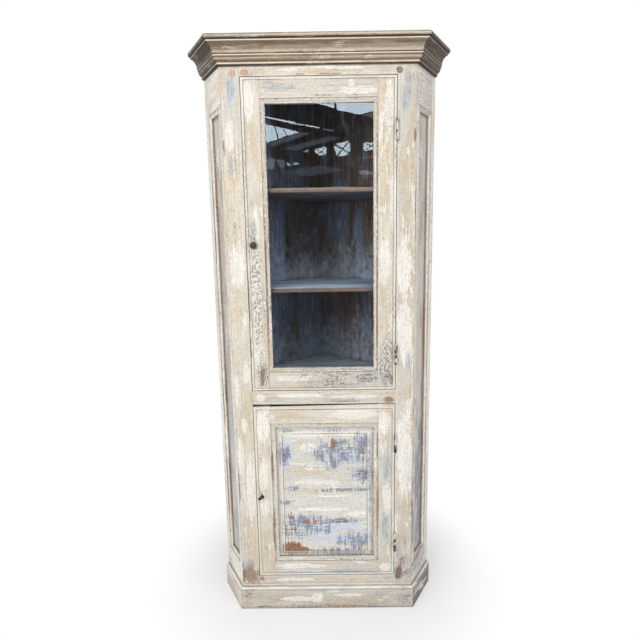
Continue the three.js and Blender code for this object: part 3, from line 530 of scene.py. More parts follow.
def putty_finish(name):
    """Old linseed putty: chalky, cracked across and gone grey."""
    mix = Finish(name)
    lumps = mix.noise(160, 160, 4.0, 0.65)
    uncracked = abs(mix.noise(90, 90, 2.0, 0.5, 1.5, 6.0) - 0.5).eased(0.0, 0.012)
    sound = mix.over(lumps.eased(0.35, 0.65), "c4beb0", "a8a092")
    mix.colour = mix.over(uncracked, "60564a", sound)
    mix.done(mix.coat(0.85, lumps, depth=0.0008, strength=0.6))


# Lines round the doors, the openings and the panels: painted shade with some grime in each quirk, and a painted
# highlight on each bead

DOOR_EDGE = [(-1.8, 0.0, 0.25, QUIRK_SHADE_AND_DIRT), (0.6, 6.8, 0.4, WHITE_PAINT_AND_HIGHLIGHT)]
OPENING_EDGE = [(-0.4, 1.6, 0.25, QUIRK_SHADE_AND_DIRT), (2.0, 5.0, 0.3, WHITE_PAINT_AND_HIGHLIGHT)]
MOULDING_EDGE = [(-0.6, 1.4, 0.5, QUIRK_SHADE_AND_DIRT), (1.8, 4.2, 0.35, WHITE_PAINT_AND_HIGHLIGHT)]
UPPER_DOOR_RIMS = [(0, 1439, 255, 536, DOOR_EDGE), (0, 1439, 200, 476, MOULDING_EDGE)]
LOWER_DOOR_RIMS = [(0, 483.7, 255, 336.8, DOOR_EDGE), (0, 481.5, 201.5, 283, MOULDING_EDGE)]
CASE_RIMS = [(0, 1439, 265, 546, OPENING_EDGE), (0, 488.5, 265, 351.5, OPENING_EDGE)]
# Round the field: a quirk line of painted shade, a bluish painted shade on the margin, dark brown lines at the steps,
# and a painted highlight on the shoulder.
FIELD_RIMS = [(0, 481.5, 184.5, 266, [
    (-3.0, 1.0, 0.4, QUIRK_SHADE_AND_DIRT), (-16.0, -3.0, 0.4, "bec1c6"), (-8.0, -5.0, 0.5, "7a6054"),
    (-23.0, -17.5, 0.45, WHITE_PAINT_AND_HIGHLIGHT), (-26.2, -23.4, 0.75, "7a5e52")])]
CANT_OPENING_HALF, CANT_SIGHT_HALF = (59.0, 854.5), (45.0, 840.5)

# Courses of the mouldings, lines of painted shade and painted highlight: height, half thickness, strength and colour of
# each level line

# On the cornice the dark lines are painted shade under each nose and in each hollow, and the pale ones are painted
# highlights on the fillets.
HOLLOW_SHADE = "6c5844"
CREASE_SHADE = "403127"
CORNICE_COURSES = [
    (2093, 4, 0.6, "d8d0c0"), (2085.4, 3.2, 1.3, CREASE_SHADE), (2081.2, 2.2, 1.2, "f0e4cc"),
    (2074, 6.5, 0.8, HOLLOW_SHADE), (2065, 5, 0.25, HOLLOW_SHADE), (2055, 5, 0.6, "d0c4ae"),
    (2049.0, 2.6, 1.3, CREASE_SHADE), (2045.4, 2.0, 1.2, "eee2ca"), (2041.2, 3.4, 0.85, HOLLOW_SHADE),
    (2036, 3.6, 0.45, "cec0a8"), (2030, 3.4, 0.7, HOLLOW_SHADE), (2024.2, 3.0, 1.0, "e4d8c0"),
    (2018.8, 3.4, 1.3, CREASE_SHADE)]
# The plinth: a painted highlight on its rounded edge, painted shade in the quirk below it, a grey band, and painted
# shade at its foot.
PLINTH_COURSES = [(88.5, 4.6, 1.0, WHITE_PAINT_AND_HIGHLIGHT), (81.5, 1.8, 0.45, QUIRK_SHADE_AND_DIRT), (76, 6, 0.3, COOL_GREY),
                  (1.5, 2.5, 0.5, SHADE_AND_DIRT)]
# Where the stiles meet the plinth: a painted highlight and a line of painted shade.
FOOT_COURSES = [(95.5, 5.0, 0.7, WHITE_PAINT_AND_HIGHLIGHT), (102.5, 1.6, 0.4, QUIRK_SHADE_AND_DIRT)]
# A painted shadow under the cornice.
HEAD_COURSES = [(2017, 3.0, 0.6, SHADE_AND_DIRT)]

# Where the paint is worn on the front, found on the photograph

LEFT_STILE = {
    "blue": [(-303, 1955, 26, 66), (-303, 188, 36, 28), (-300, 1700, 14, 30)],
    "orange": [(-289, 1994, 17, 12)],
    "haze": [(-298, 1935, 46, 120)],
    "bare": [(-299, 138, 46, 36), (-328, 1758, 6, 26), (-330, 520, 4, 60)],
    "white": [(-296, 1347, 31, 84), (-318, 640, 14, 90), (-284, 520, 18, 160), (-322, 905, 12, 80),
              (-284, 960, 15, 45), (-306, 1800, 16, 60), (-300, 760, 12, 40)],
    "tan": [(-292, 1660, 26, 130), (-302, 735, 24, 130), (-298, 300, 32, 130), (-300, 1190, 26, 60)],
    "scratched": [(-291, 1581, 14, 26), (-302, 1469, 14, 44), (-300, 1255, 22, 30)],
}
RIGHT_STILE = {
    "blue": [(303, 1976, 26, 20), (307, 205, 34, 50), (310, 1000, 10, 40), (306, 260, 18, 50)],
    "haze": [(303, 1925, 30, 60), (306, 210, 28, 60)],
    "specks": [(304, 180, 44, 80)],
    "bare": [(302, 146, 44, 27), (334, 300, 5, 190), (333, 1500, 3, 200), (326, 1790, 4, 20)],
    "white": [(297, 640, 36, 190), (290, 1340, 24, 110), (296, 1110, 28, 110)],
    "tan": [(298, 880, 33, 40), (300, 416, 31, 40), (304, 290, 29, 60), (300, 1600, 30, 220)],
    "knot": [(272, 1998, 10)],
}
FRIEZE = {
    "tan": [(-203, 1998, 66, 15), (215, 2000, 60, 16), (60, 1998, 90, 12)],
    "orange": [(-248, 1996, 15, 12)],
    "bare": [(-60, 1990, 26, 3), (30, 1990, 42, 4)],
    "white": [(-99, 2005, 60, 7), (120, 2008, 60, 6), (0, 2010, 200, 3)],
    "blue": [(-215, 1990, 20, 14), (150, 1994, 50, 6)],
    "knot": [(270, 1999, 10)],
}
MID_RAIL = {
    "bare": [(242, 856, 20, 13), (80, 849, 60, 2)],
    "blue": [(-182, 860, 70, 15), (60, 856, 80, 8)],
    "tan": [(60, 876, 90, 10)],
    "white": [(-100, 874, 90, 9), (-235, 866, 20, 14), (120, 868, 90, 7)],
}
BASE_RAIL = {
    "bare": [(-255, 124, 10, 10)],
    "blue": [(277, 137, 16, 26), (240, 118, 60, 8)],
    "tan": [(40, 112, 190, 10)],
    "white": [(-120, 118, 90, 7)],
}
PLINTH = {
    "blue": [(317, 33, 24, 36), (-60, 78, 170, 5), (200, 60, 60, 10)],
    "haze": [(300, 30, 50, 40)],
    "white": [(-100, 42, 90, 10), (-40, 45, 26, 22), (90, 56, 60, 8)],
    "tan": [(-200, 50, 120, 24), (120, 30, 130, 20)],
    "bare": [(-250, 8, 30, 6), (-290, 84, 10, 4)],
    "specks": [(304, 40, 50, 60), (-312, 50, 30, 60), (0, 6, 330, 12)],
}
UPPER_DOOR_LEFT = {
    "blue": [(-238, 1569, 20, 44), (-240, 1480, 16, 50), (-222, 947, 22, 22)],
    "specks": [(-232, 1325, 34, 120), (-230, 1187, 34, 250), (-226, 960, 34, 70), (-258, 1600, 8, 340)],
    "bare": [(-262, 1234, 5, 110), (-262, 1051, 5, 50), (-224, 945, 8, 30)],
    "white": [(-240, 1915, 24, 80), (-236, 1260, 22, 230), (-228, 1500, 14, 80), (-232, 1040, 22, 90)],
    "tan": [(-222, 1760, 14, 90)],
}
UPPER_DOOR_RIGHT = {
    "white": [(226, 1367, 24, 90), (238, 1896, 18, 80), (250, 1560, 10, 90)],
    "tan": [(227, 1204, 28, 110), (224, 1640, 22, 130)],
    "specks": [(238, 1010, 34, 110), (258, 1740, 9, 80), (258, 1200, 7, 80)],
    "bare": [(250, 930, 9, 26)],
    "blue": [(228, 938, 34, 40), (256, 1800, 8, 50)],
}
UPPER_DOOR_TOP = {
    "blue": [(-176, 1966, 26, 16), (119, 1977, 40, 5), (-130, 1950, 70, 10), (20, 1952, 80, 6)],
    "white": [(134, 1937, 70, 14), (110, 1960, 12, 14), (-40, 1975, 90, 4)],
    "specks": [(60, 1922, 130, 4)],
}
UPPER_DOOR_BASE = {
    "specks": [(60, 930, 210, 66), (150, 938, 110, 56)],
    "blue": [(150, 938, 110, 56), (110, 950, 90, 26), (30, 924, 60, 12)],
    "bare": [(70, 915, 60, 4)],
    "white": [(-100, 940, 90, 12)],
}
LOWER_DOOR_LEFT = {
    "white": [(-234, 755, 28, 66), (-236, 560, 22, 80), (-232, 440, 22, 60)],
    "tan": [(-241, 655, 18, 44), (-240, 300, 24, 110)],
    "blue": [(-212, 660, 6, 60)],
    "bare": [(-203, 589, 3, 56), (-203, 340, 3, 80)],
}
LOWER_DOOR_RIGHT = {
    "white": [(222, 766, 30, 44), (238, 459, 18, 70), (228, 480, 10, 40), (232, 170, 26, 22)],
    "blue": [(237, 590, 18, 70), (226, 330, 24, 80)],
    "tan": [(230, 690, 18, 30)],
    "bare": [(203, 420, 2, 110)],
}
LOWER_DOOR_TOP = {"tan": [(-119, 797, 90, 26), (60, 790, 60, 10)], "white": [(96, 802, 110, 22)]}
LOWER_DOOR_BASE = {"blue": [(90, 152, 150, 12)], "haze": [(0, 150, 220, 14)], "white": [(-110, 176, 90, 12)]}
LOWER_DOOR_PANEL = {
    "white": [(-77, 719, 110, 13), (113, 719, 76, 12), (-57, 668, 38, 16), (-33, 527, 96, 11), (-28, 414, 140, 9),
              (119, 392, 52, 15), (-120, 603, 70, 5), (31, 469, 66, 5), (-16, 311, 42, 12), (120, 340, 40, 8)],
    "tan": [(-60, 570, 110, 22), (-20, 490, 130, 24), (-120, 690, 50, 20), (0, 640, 50, 14)],
    "blue": [(69, 664, 110, 46), (132, 668, 50, 60), (137, 564, 48, 32), (30, 612, 24, 26), (-28, 628, 18, 14),
             (-157, 640, 24, 40), (-131, 503, 40, 11), (84, 494, 100, 7), (-151, 445, 26, 12), (-83, 366, 92, 36),
             (90, 370, 95, 10), (-130, 310, 50, 30), (-20, 330, 60, 20), (119, 282, 64, 40), (31, 732, 50, 9),
             (-140, 733, 34, 7), (172, 500, 8, 200)],
    "haze": [(8, 322, 190, 92), (80, 660, 110, 62), (-80, 380, 100, 50), (-150, 640, 34, 60), (140, 564, 50, 34)],
    "specks": [(150, 664, 30, 40), (140, 564, 40, 26), (-157, 640, 20, 34), (60, 366, 90, 14)],
    "bare": [(31, 689, 12, 24), (94, 666, 34, 8), (-145, 387, 24, 11), (-77, 366, 13, 12), (-39, 364, 11, 13),
             (-139, 332, 32, 7), (-162, 314, 12, 8)],
    "orange": [(-130, 254, 46, 36), (-92, 240, 44, 20)],
    "grime": [(72, 232, 122, 17), (-30, 232, 44, 9)],
}

MOULDING_WEAR = {
    "bare": [(-198, 585, 6, 70), (-197, 360, 5, 110), (198, 430, 5, 150), (197, 680, 4, 50), (-196, 1300, 4, 240),
             (196, 1200, 4, 180), (196, 1700, 4, 140)],
    "specks": [(-194, 1440, 20, 560), (194, 1440, 20, 560), (190, 460, 14, 260), (100, 906, 110, 10)],
}

# What the cants have kept

RIGHT_CANT = {"haze": [(380, 470, 90, 520)]}
LEFT_CANT_MOULDING = {"bare": [(-402, 470, 16, 230), (-402, 800, 16, 110), (-402, 1500, 9, 200)]}
LEFT_CANT_PANEL = {"haze": [(-380, 560, 90, 620)]}
LEFT_RETURN = {"bare": [(-386, 2064, 34, 15)]}


# The finishes, each under its material's name

POST_COURSES = FOOT_COURSES + HEAD_COURSES
CASE, UPPER, LOWER = dict(rims=CASE_RIMS), dict(rims=UPPER_DOOR_RIMS, dirt=0.35), dict(rims=LOWER_DOOR_RIMS, dirt=0.35)
MOULDING = dict(base="e9e4d9", tan="d6c7b2", tan_level=0.61, bare_level=0.6, edge_wear=1.1,
                edge_light=0.9, dirt=1.0, grit=0.95, grit_level=0.53)
FACE_LOOKS = {
    "stile_left": dict(CASE, places=LEFT_STILE, courses=POST_COURSES, bare_level=0.665),
    "stile_right": dict(CASE, places=RIGHT_STILE, courses=POST_COURSES, base="d0cabe", tan="ccbda8", haze="b2b2b6"),
    "frieze": dict(CASE, places=FRIEZE, courses=HEAD_COURSES, tan_level=0.55, white_level=0.56),
    "mid_rail": dict(CASE, places=MID_RAIL, white_level=0.63, base="d3ccbe"),
    "base_rail": dict(CASE, places=BASE_RAIL, courses=FOOT_COURSES, white_level=0.63, base="ccc4b7"),
    "plinth": dict(places=PLINTH, courses=PLINTH_COURSES, white_level=0.62, base="c8c2b6", tan="c2b39e"),
    "upper_door_left": dict(UPPER, places=UPPER_DOOR_LEFT),
    "upper_door_right": dict(UPPER, places=UPPER_DOOR_RIGHT),
    "upper_door_top": dict(UPPER, places=UPPER_DOOR_TOP, white_level=0.64, base="d1cbbd"),
    "upper_door_base": dict(UPPER, places=UPPER_DOOR_BASE, white_level=0.63, base="d3cdc3"),
    "lower_door_left": dict(LOWER, places=LOWER_DOOR_LEFT),
    "lower_door_right": dict(LOWER, places=LOWER_DOOR_RIGHT, tan_level=0.6, base="cfcbc1"),
    "lower_door_top": dict(LOWER, places=LOWER_DOOR_TOP, white_level=0.63),
    "lower_door_base": dict(LOWER, places=LOWER_DOOR_BASE, white_level=0.63, base="cdc7bc"),
    "lower_door_panel": dict(
        rims=FIELD_RIMS, places=LOWER_DOOR_PANEL, scrubbed=True, base="d5d2c8", tan="d3c9b7", blue=SCRUBBED_BLUE,
        rust=ORANGE_PINE, haze="c6cfe0", wood="a08478", tan_level=0.58, bare_level=0.7, white_level=0.61, lines=0.2,
        dirt=0.8),
    "cornice_front": dict(
        courses=CORNICE_COURSES, base="a49580", tan="847058", white="d6cdbc", tan_level=0.52, bare_level=0.63,
        white_level=0.6, edge_wear=0.5, edge_light=0.8, dirt=1.0, streaks=2.0, lines=0.7, grit=0.9, grit_level=0.58),
    "moulding_upright": dict(MOULDING, places=MOULDING_WEAR),
    "moulding_level": MOULDING,
}


def paint_face():
    """The paint of the face frame, the doors and the mouldings of the front; the grain runs along each board."""
    for seed, (name, look) in enumerate(FACE_LOOKS.items(), start=1):
        painted("paint_" + name, seed=seed, upright=name.endswith(("_left", "_right", "_upright")), **look)


def paint_side(side):
    """The paint of one side of the cupboard."""
    right = side == "right"

    def either(on_right, on_left):
        return on_right if right else on_left

    turn = math.radians(either(-60, 60))
    middle = (either(25.07, -25.07), 1035.5)
    # On the right the cant's rails, the haze, the plinth and the cornice take darker colours than on the left: partly
    # painted shade on the side away from the key lamp.
    common = dict(turn=turn, base="f3eee5", tan="e6d8c6", white="f6f3ee", blue="9ea4b2",
                  haze=either(SLATE, "b2b6ba"), tan_level=0.54, blue_level=0.62, bare_level=0.62, edge_wear=1.2,
                  edge_light=0.8, dirt=0.85, streaks=1.5, lines=0.5)
    framed = dict(common, rims=[(*middle, *CANT_OPENING_HALF, MOULDING_EDGE)], courses=POST_COURSES)
    # Round each cant panel's sight: painted shade with some grime in the quirk, and a band of painted shade inside it.
    sight = [(-2.5, 1.0, 0.85, QUIRK_SHADE_AND_DIRT), (-12.0, -2.5, 0.4, SHADE_AND_DIRT)]
    # The cornice's lines of painted shade and highlight, toned darker on the returns as more painted shade, and darkest
    # on the right.
    shaded = [(level, half, share * 0.9, toned(tone, either(0.4, 0.55)))
              for level, half, share, tone in CORNICE_COURSES]
    looks = {
        "cant_front_stile": (30, dict(framed, places=either(RIGHT_CANT, None))),
        "cant_back_stile": (32, framed),
        "cant_level": (34, dict(framed, upright=False, places=RIGHT_CANT, base="ded5cc",
                                tan="beb0a4", lines=0.9) if right else dict(framed, upright=False)),
        "cant_panel": (38, dict(
            common, places=either(RIGHT_CANT, LEFT_CANT_PANEL), blue_level=0.6, base="d4cbc2",
            tan="bcac9c", rims=[(*middle, *CANT_SIGHT_HALF, sight)])),
        "cant_moulding": (40, dict(common, places=either(None, LEFT_CANT_MOULDING), base="eae2d4",
                                   tan="c4a892", tan_level=0.53, bare_level=0.58, dirt=1.0)),
        "cant_moulding_level": (42, dict(common, upright=False, base="e0dace", dirt=1.0)),
        "plinth": (44, dict(common, upright=False, courses=PLINTH_COURSES, tan_level=0.52,
                            base=either("888480", "e2dbd2"), tan=either("6c6058", "ccbbab"))),
        "cornice": (48, dict(
            turn=turn, upright=False, places=either(None, LEFT_RETURN), courses=shaded, tan="3a291e",
            base=either("523a29", "5a4837"), white=either("705942", "867258"), wood="544034", deep="322620",
            tan_level=0.49, bare_level=0.62, edge_light=0.4, dirt=1.0, streaks=2.2, lines=0.6, grit=0.4)),
    }
    for name, (seed, look) in looks.items():
        painted(f"paint_{name}_{side}", seed=seed + right, **look)


def board_side(side):
    """The bare boards of one wall, washed inside the cupboard and three shades of pine behind it."""
    right = side == "right"
    wall = math.radians(45 if right else -45)
    old_wood("wall_inside_" + side, "8a6850", "4e3e36", turn=wall, sills=SILLS, streaked=0.4, pale="ced6e2",
             wash="768298" if right else "808ea8", wash_level=0.52 if right else 0.44, seed=52 + right)
    for number, tone in ((1, 1.0), (2, 0.78), (3, 1.16)):
        old_wood(f"wall_back_{side}_{number}", toned("b89a7a", tone), toned("8e7056", tone), turn=wall, dirt=0.8,
                 streaked=0.5, seed=56 + 3 * number + right)


def finish_boards():
    """The wood inside the cupboard, and the edges that show in its gaps."""
    inside = dict(light="7a6656", dark="4c3e36", wash="7c8692", wash_level=0.5)
    topped = dict(upright=False, streaked=1.9, dirt=0.1)
    gap = dict(light="9e8e7a", dark="6e5e4e", knotty=False)
    old_wood("inside_washed", pale="a4a8ae", seed=20, **inside)
    old_wood("inside_washed_level", upright=False, seed=21, **inside)
    # The tops of the shelves and the floor are near white, lighter than their pale blue paint, as painted light for the
    # dim inside; the floor lightest.
    old_wood("shelf_top_blue", "b0b4bc", "707682", wash="e8f0f9", wash_level=0.42, pale="f9fafc", seed=22, **topped)
    old_wood("floor_top_blue", "d6dae2", "9298a2", wash="f9fbfd", wash_level=0.38, pale="fcfcfc", seed=24, **topped)
    old_wood("shelf_edge_bare", "bc9886", "8c6a5a", upright=False, seed=23, pale="d6c8b8", dirt=0.2, knotty=False)
    old_wood("rough_pine_level", "ac967e", "806a56", upright=False, streaked=0.6, seed=25)
    old_wood("gap_edge_upright", seed=26, **gap)
    old_wood("gap_edge_pale", upright=False, seed=28, **gap)
    # Edges across the door gaps: dark wood, darkened further as painted shade so that the gaps read black.
    old_wood("gap_edge_level", "463a32", "2c241f", upright=False, seed=27, knotty=False)


def finish_fittings():
    """Iron, the knob, the glass and its putty."""
    iron_finish("old_iron", "242120", "3e2e24")
    iron_finish("painted_hinge", "282421", "604634", 0.6, paint=CREAM)
    iron_finish("hinge_leaf_iron", "3c3632", "604634", 0.6)
    iron_finish("nail_iron", "28221f", "422e22", 0.3)
    low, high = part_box("knob")
    knob_finish("turned_knob", (low.x + high.x) / 2, (low.z + high.z) / 2)
    glass_finish("old_window_glass")
    putty_finish("old_putty")


# The joiner's work: every wooden member, its arrises eased

def add_piece(name, data):
    """A new object in the scene, made of its data."""
    piece = bpy.data.objects.new(name, data)
    bpy.context.scene.collection.objects.link(piece)
    return piece


def settle(piece):
    """Turns a piece's modifiers into its plain mesh."""
    shown = piece.evaluated_get(bpy.context.evaluated_depsgraph_get())
    finished = bpy.data.meshes.new_from_object(shown)
    piece.modifiers.clear()
    piece.data = finished


def eased_copy(node, name, easing):
    """A copy of a CAD member with its loose triangles joined and its arrises eased."""
    mesh = NODES[node].data.copy()
    mesh.materials.clear()
    shape, weld = bmesh.new(), 0.00001
    shape.from_mesh(mesh)
    bmesh.ops.remove_doubles(shape, verts=shape.verts, dist=weld)
    bmesh.ops.dissolve_degenerate(shape, edges=shape.edges, dist=weld)
    bmesh.ops.dissolve_limit(shape, angle_limit=math.radians(0.4), verts=shape.verts, edges=shape.edges)
    shape.to_mesh(mesh)
    shape.free()
    for layer in [a.name for a in mesh.attributes if a.name in ("custom_normal", "sharp_edge")]:
        mesh.attributes.remove(mesh.attributes[layer])
    piece = add_piece(name, mesh)
    if easing:
        bevel = piece.modifiers.new("eased", "BEVEL")
        bevel.width = easing
        bevel.segments = 2
        bevel.limit_method = "ANGLE"
        bevel.angle_limit = math.radians(38)
        bevel.use_clamp_overlap = True
        settle(piece)
    piece.data.shade_smooth()
    piece.data.set_sharp_from_angle(angle=math.radians(24))
    return piece


def towards(direction, share=0.6):
    """A test that is true of a face that looks along direction."""
    aim = Vector(direction).normalized()
    return lambda face: face.normal.dot(aim) > share


EDGE_ON = 0.97
INWARD = {"front": (0, 1, 0), "left": (0.866, 0.5, 0), "right": (-0.866, 0.5, 0),
          "wall_left": (0.7071, -0.7071, 0), "wall_right": (-0.7071, -0.7071, 0)}


def member(node, finish, others=(), easing=0.0009, body="case"):
    """One wooden member: finish all over, but each of others where its test is true of a face."""
    piece = eased_copy(node, node + "_worked", easing)
    for named in [finish, *[other for _, other in others]]:
        piece.data.materials.append(FINISH[named])
    for face in piece.data.polygons:
        face.material_index = next((index for index, (test, _) in enumerate(others, start=1) if test(face)), 0)
    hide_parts(node)
    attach(piece, body)


def join_face():
    """The face frame, with the front lengths of the plinth and the cornice."""
    back = (towards(INWARD["front"]), "inside_washed")
    back_level = (towards(INWARD["front"]), "inside_washed_level")
    under, over = ((towards((0, 0, way), EDGE_ON), "gap_edge_level") for way in (-1, 1))
    for side, inner in (("left", 1), ("right", -1)):
        member(f"face_stile_{side}", f"paint_stile_{side}",
               [back, (towards((inner, 0, 0), EDGE_ON), "gap_edge_upright")])
    member("frieze_rail", "paint_frieze", [back_level, under])
    member("mid_rail", "paint_mid_rail", [back_level, under, over])
    member("base_rail", "paint_base_rail", [back_level, over])
    member("plinth_front", "paint_plinth")
    member("cornice_front", "paint_cornice_front")


def join_side(side):
    """One framed cant, its plinth and cornice, and the wall boards behind it."""
    hidden = [(towards(INWARD[side]), "inside_washed")]
    for part, finish in (("front_stile", "front_stile"), ("back_stile", "back_stile"), ("top_rail", "level"),
                         ("base_rail", "level")):
        member(f"cant_{part}_{side}", f"paint_cant_{finish}_{side}", hidden)
    member(f"cant_panel_{side}", f"paint_cant_panel_{side}", hidden, 0.0)
    member(f"plinth_{side}", f"paint_plinth_{side}")
    member(f"cornice_{side}", f"paint_cornice_{side}")
    for number in (1, 2, 3):
        member(f"wall_board_{side}_{number}", f"wall_back_{side}_{number}",
               [(towards(INWARD["wall_" + side]), "wall_inside_" + side)], 0.0022)


def lay_boards():
    """The corner fillet, the floor, the shelves, the base and the top."""
    member("corner_fillet", "wall_inside_left")
    upper, edge = towards((0, 0, 1)), (towards((0, -1, 0)), "shelf_edge_bare")
    for board, top in (("cupboard_floor", "floor_top_blue"), ("shelf_lower", "shelf_top_blue"),
                       ("shelf_upper", "shelf_top_blue")):
        member(board, "inside_washed_level", [(upper, top), edge])
    member("base_board", "rough_pine_level", [(upper, "inside_washed_level")])
    member("top_board", "rough_pine_level", [(towards((0, 0, -1)), "inside_washed_level")])


def hang_doors():
    """Both framed doors, the glazed one and the panelled one."""
    inner = (towards(INWARD["front"], 0.8), "inside_washed")
    inner_level = (towards(INWARD["front"], 0.8), "inside_washed_level")
    for part, finish, hidden, outward in (
            ("stile_left", "left", inner, (-1, 0, 0)), ("stile_right", "right", inner, (1, 0, 0)),
            ("top_rail", "top", inner_level, (0, 0, 1)), ("base_rail", "base", inner_level, (0, 0, -1))):
        for door in ("upper_door", "lower_door"):
            gap = ("gap_edge_upright" if hidden is inner else
                   "gap_edge_level" if (door, part) == ("lower_door", "top_rail") else "gap_edge_pale")
            member(f"{door}_{part}", f"paint_{door}_{finish}",
                   [hidden, (towards(outward, EDGE_ON), gap)], 0.0007, door)
    member("lower_door_panel", "paint_lower_door_panel", [inner], 0.0005, "lower_door")


# Swept pieces: the moulding runs, the key's bow and the putty

def sweep(name, runs, finishes, body, sharp=None):
    """A closed piece: each run is a loop of rings of points, whose sides take the finishes in turn.

    Edges that turn more than sharp degrees stay sharp; without it, the faces are flat.
    """
    verts, faces, sides = [], [], []
    for rings in runs:
        first, count = len(verts), len(rings[0])
        verts += [point for ring in rings for point in ring]
        for side in range(len(rings)):
            here, following = first + side * count, first + (side + 1) % len(rings) * count
            for step in range(count):
                after = (step + 1) % count
                faces.append((here + step, following + step, following + after, here + after))
                sides.append(side % len(finishes))
    mesh = bpy.data.meshes.new(name)
    mesh.from_pydata(verts, [], faces)
    for finish in finishes:
        mesh.materials.append(FINISH[finish])
    mesh.polygons.foreach_set("material_index", sides)
    shape = bmesh.new()
    shape.from_mesh(mesh)
    bmesh.ops.recalc_face_normals(shape, faces=shape.faces)
    shape.to_mesh(mesh)
    shape.free()
    if sharp:
        mesh.shade_smooth()
        mesh.set_sharp_from_angle(angle=math.radians(sharp))
    piece = add_piece(name, mesh)
    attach(piece, body)


def moulding_sections(width, panel_depth):
    """The bead and the inner fillet as closed outlines, in millimetres towards the panel and in from the face."""
    middle, round_off = 3.4, 2.3
    bead = [(middle - round_off, 4.2)]
    for step in range(9):
        angle = math.pi * step / 8
        bead.append((middle - round_off * math.cos(angle), 2.5 - round_off * math.sin(angle)))
    bead.append((middle + round_off, 4.8))
    crest = panel_depth * 0.5
    fillet = [(width - 3.8, panel_depth * 0.62), (width - 3.8, crest + 0.35), (width - 3.4, crest),
              (width - 0.2, crest), (width + 0.2, crest + 0.35), (width + 0.2, panel_depth - 0.04),
              (width - 1.2, panel_depth - 0.04)]
    return bead, fillet


def run_moulding(name, start, along, inward, reach, levels, width, panel_depth, body, finishes):
    """A mitred moulding round an opening: reach is where it lies along the frame, levels its foot and head."""
    along, inward = Vector(along).normalized(), Vector(inward).normalized()
    corners = ((reach[0], levels[0], 1, 1), (reach[1], levels[0], -1, 1), (reach[1], levels[1], -1, -1),
               (reach[0], levels[1], 1, -1))
    runs = [[[Vector(start) + along * (across + to_side * step) * MM + UP * (level + to_level * step) * MM
              + inward * depth * MM for step, depth in section] for across, level, to_side, to_level in corners]
            for section in moulding_sections(width, panel_depth)]
    sweep(name, runs, finishes, body, 35)


def run_mouldings():
    """Round the lower panel, the glass and the panel of each cant."""
    front = (0, FACE_Y, 0)
    both = ("paint_moulding_level", "paint_moulding_upright")
    run_moulding("lower_door_moulding", front, (1, 0, 0), (0, 1, 0), (-201.5, 201.5), (198.5, 764.5), 17, 10,
                 "lower_door", both)
    run_moulding("upper_door_moulding", front, (1, 0, 0), (0, 1, 0), (-200, 200), (963, 1915), 15, 11,
                 "upper_door", both)
    for side, sign in (("left", -1), ("right", 1)):
        run_moulding(f"cant_moulding_{side}", (sign * 0.332, FACE_Y, 0), (sign * 0.089, 0.15415, 0), INWARD[side],
                     (24, 142), (181, 1890), 14, 12, "case",
                     (f"paint_cant_moulding_level_{side}", f"paint_cant_moulding_{side}"))


def thicken_key_bow():
    """The worn bow of the key, thicker than its wire: a ring swept round the node's own bow."""
    points = [v.co for v in NODES["key"].data.vertices]
    wire, reach = 0.0022, 0.0094
    middle_y = min(p.y for p in points) + wire + reach
    bow = [p for p in points if p.y < middle_y + reach * 0.5]
    middle = Vector(((min(p.x for p in bow) + max(p.x for p in bow)) / 2, middle_y,
                     (min(p.z for p in bow) + max(p.z for p in bow)) / 2))
    across = max((Vector((p.x - middle.x, 0, p.z - middle.z)) for p in bow), key=lambda p: p.length).normalized()
    side = across.cross(BACK)
    around, section = 40, 10
    rings = []
    for turn in (math.tau * step / around for step in range(around)):
        out = across * math.cos(turn) + BACK * math.sin(turn)
        thick = 0.0033 + 0.0006 * math.cos(turn * 2)
        rings.append([middle + out * (reach + thick * math.cos(angle)) + side * thick * math.sin(angle)
                      for angle in (math.tau * part / section for part in range(section))])
    sweep("key_bow", [rings], ["old_iron"], "key", 180)


def lay_putty():
    """A sloping bead of old putty behind the glass, mitred at its corners."""
    low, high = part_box("upper_door_glass")
    deep = min(high.y + 0.0085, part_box("upper_door_base_rail")[1].y - 0.0006)
    inset, foot, slope = 0.011, 0.0012, 0.0016
    section = ((foot, high.y), (inset, high.y), (inset * 0.86, high.y + slope), (foot + slope, deep - 0.0004),
               (foot, deep))
    corners = ((low.x, low.z, 1, 1), (high.x, low.z, -1, 1), (high.x, high.z, -1, -1), (low.x, high.z, 1, -1))
    rings = [[(x + to_x * step, y, z + to_z * step) for step, y in section] for x, z, to_x, to_z in corners]
    sweep("glazing_putty", [rings], ["old_putty"], "upper_door")


# Ironwork and glass, which keep the solids' meshes

def cover(node, finish):
    """Gives a CAD node's own mesh one finish all over."""
    for slot in NODES[node].material_slots:
        slot.material = FINISH[finish]


def dress_fittings():
    """The glass, the hinges, the latch and its knob, the lock and its key."""
    for node in NODES:
        if "_hinge_" in node:
            cover(node, "painted_hinge")
    for node, finish in (("upper_door_glass", "old_window_glass"), ("latch_bar", "old_iron"), ("lock_case", "old_iron"),
                         ("lock_bolt", "hinge_leaf_iron"), ("key", "old_iron"), ("knob", "turned_knob")):
        cover(node, finish)


# Nails and screws: one head, set on many places

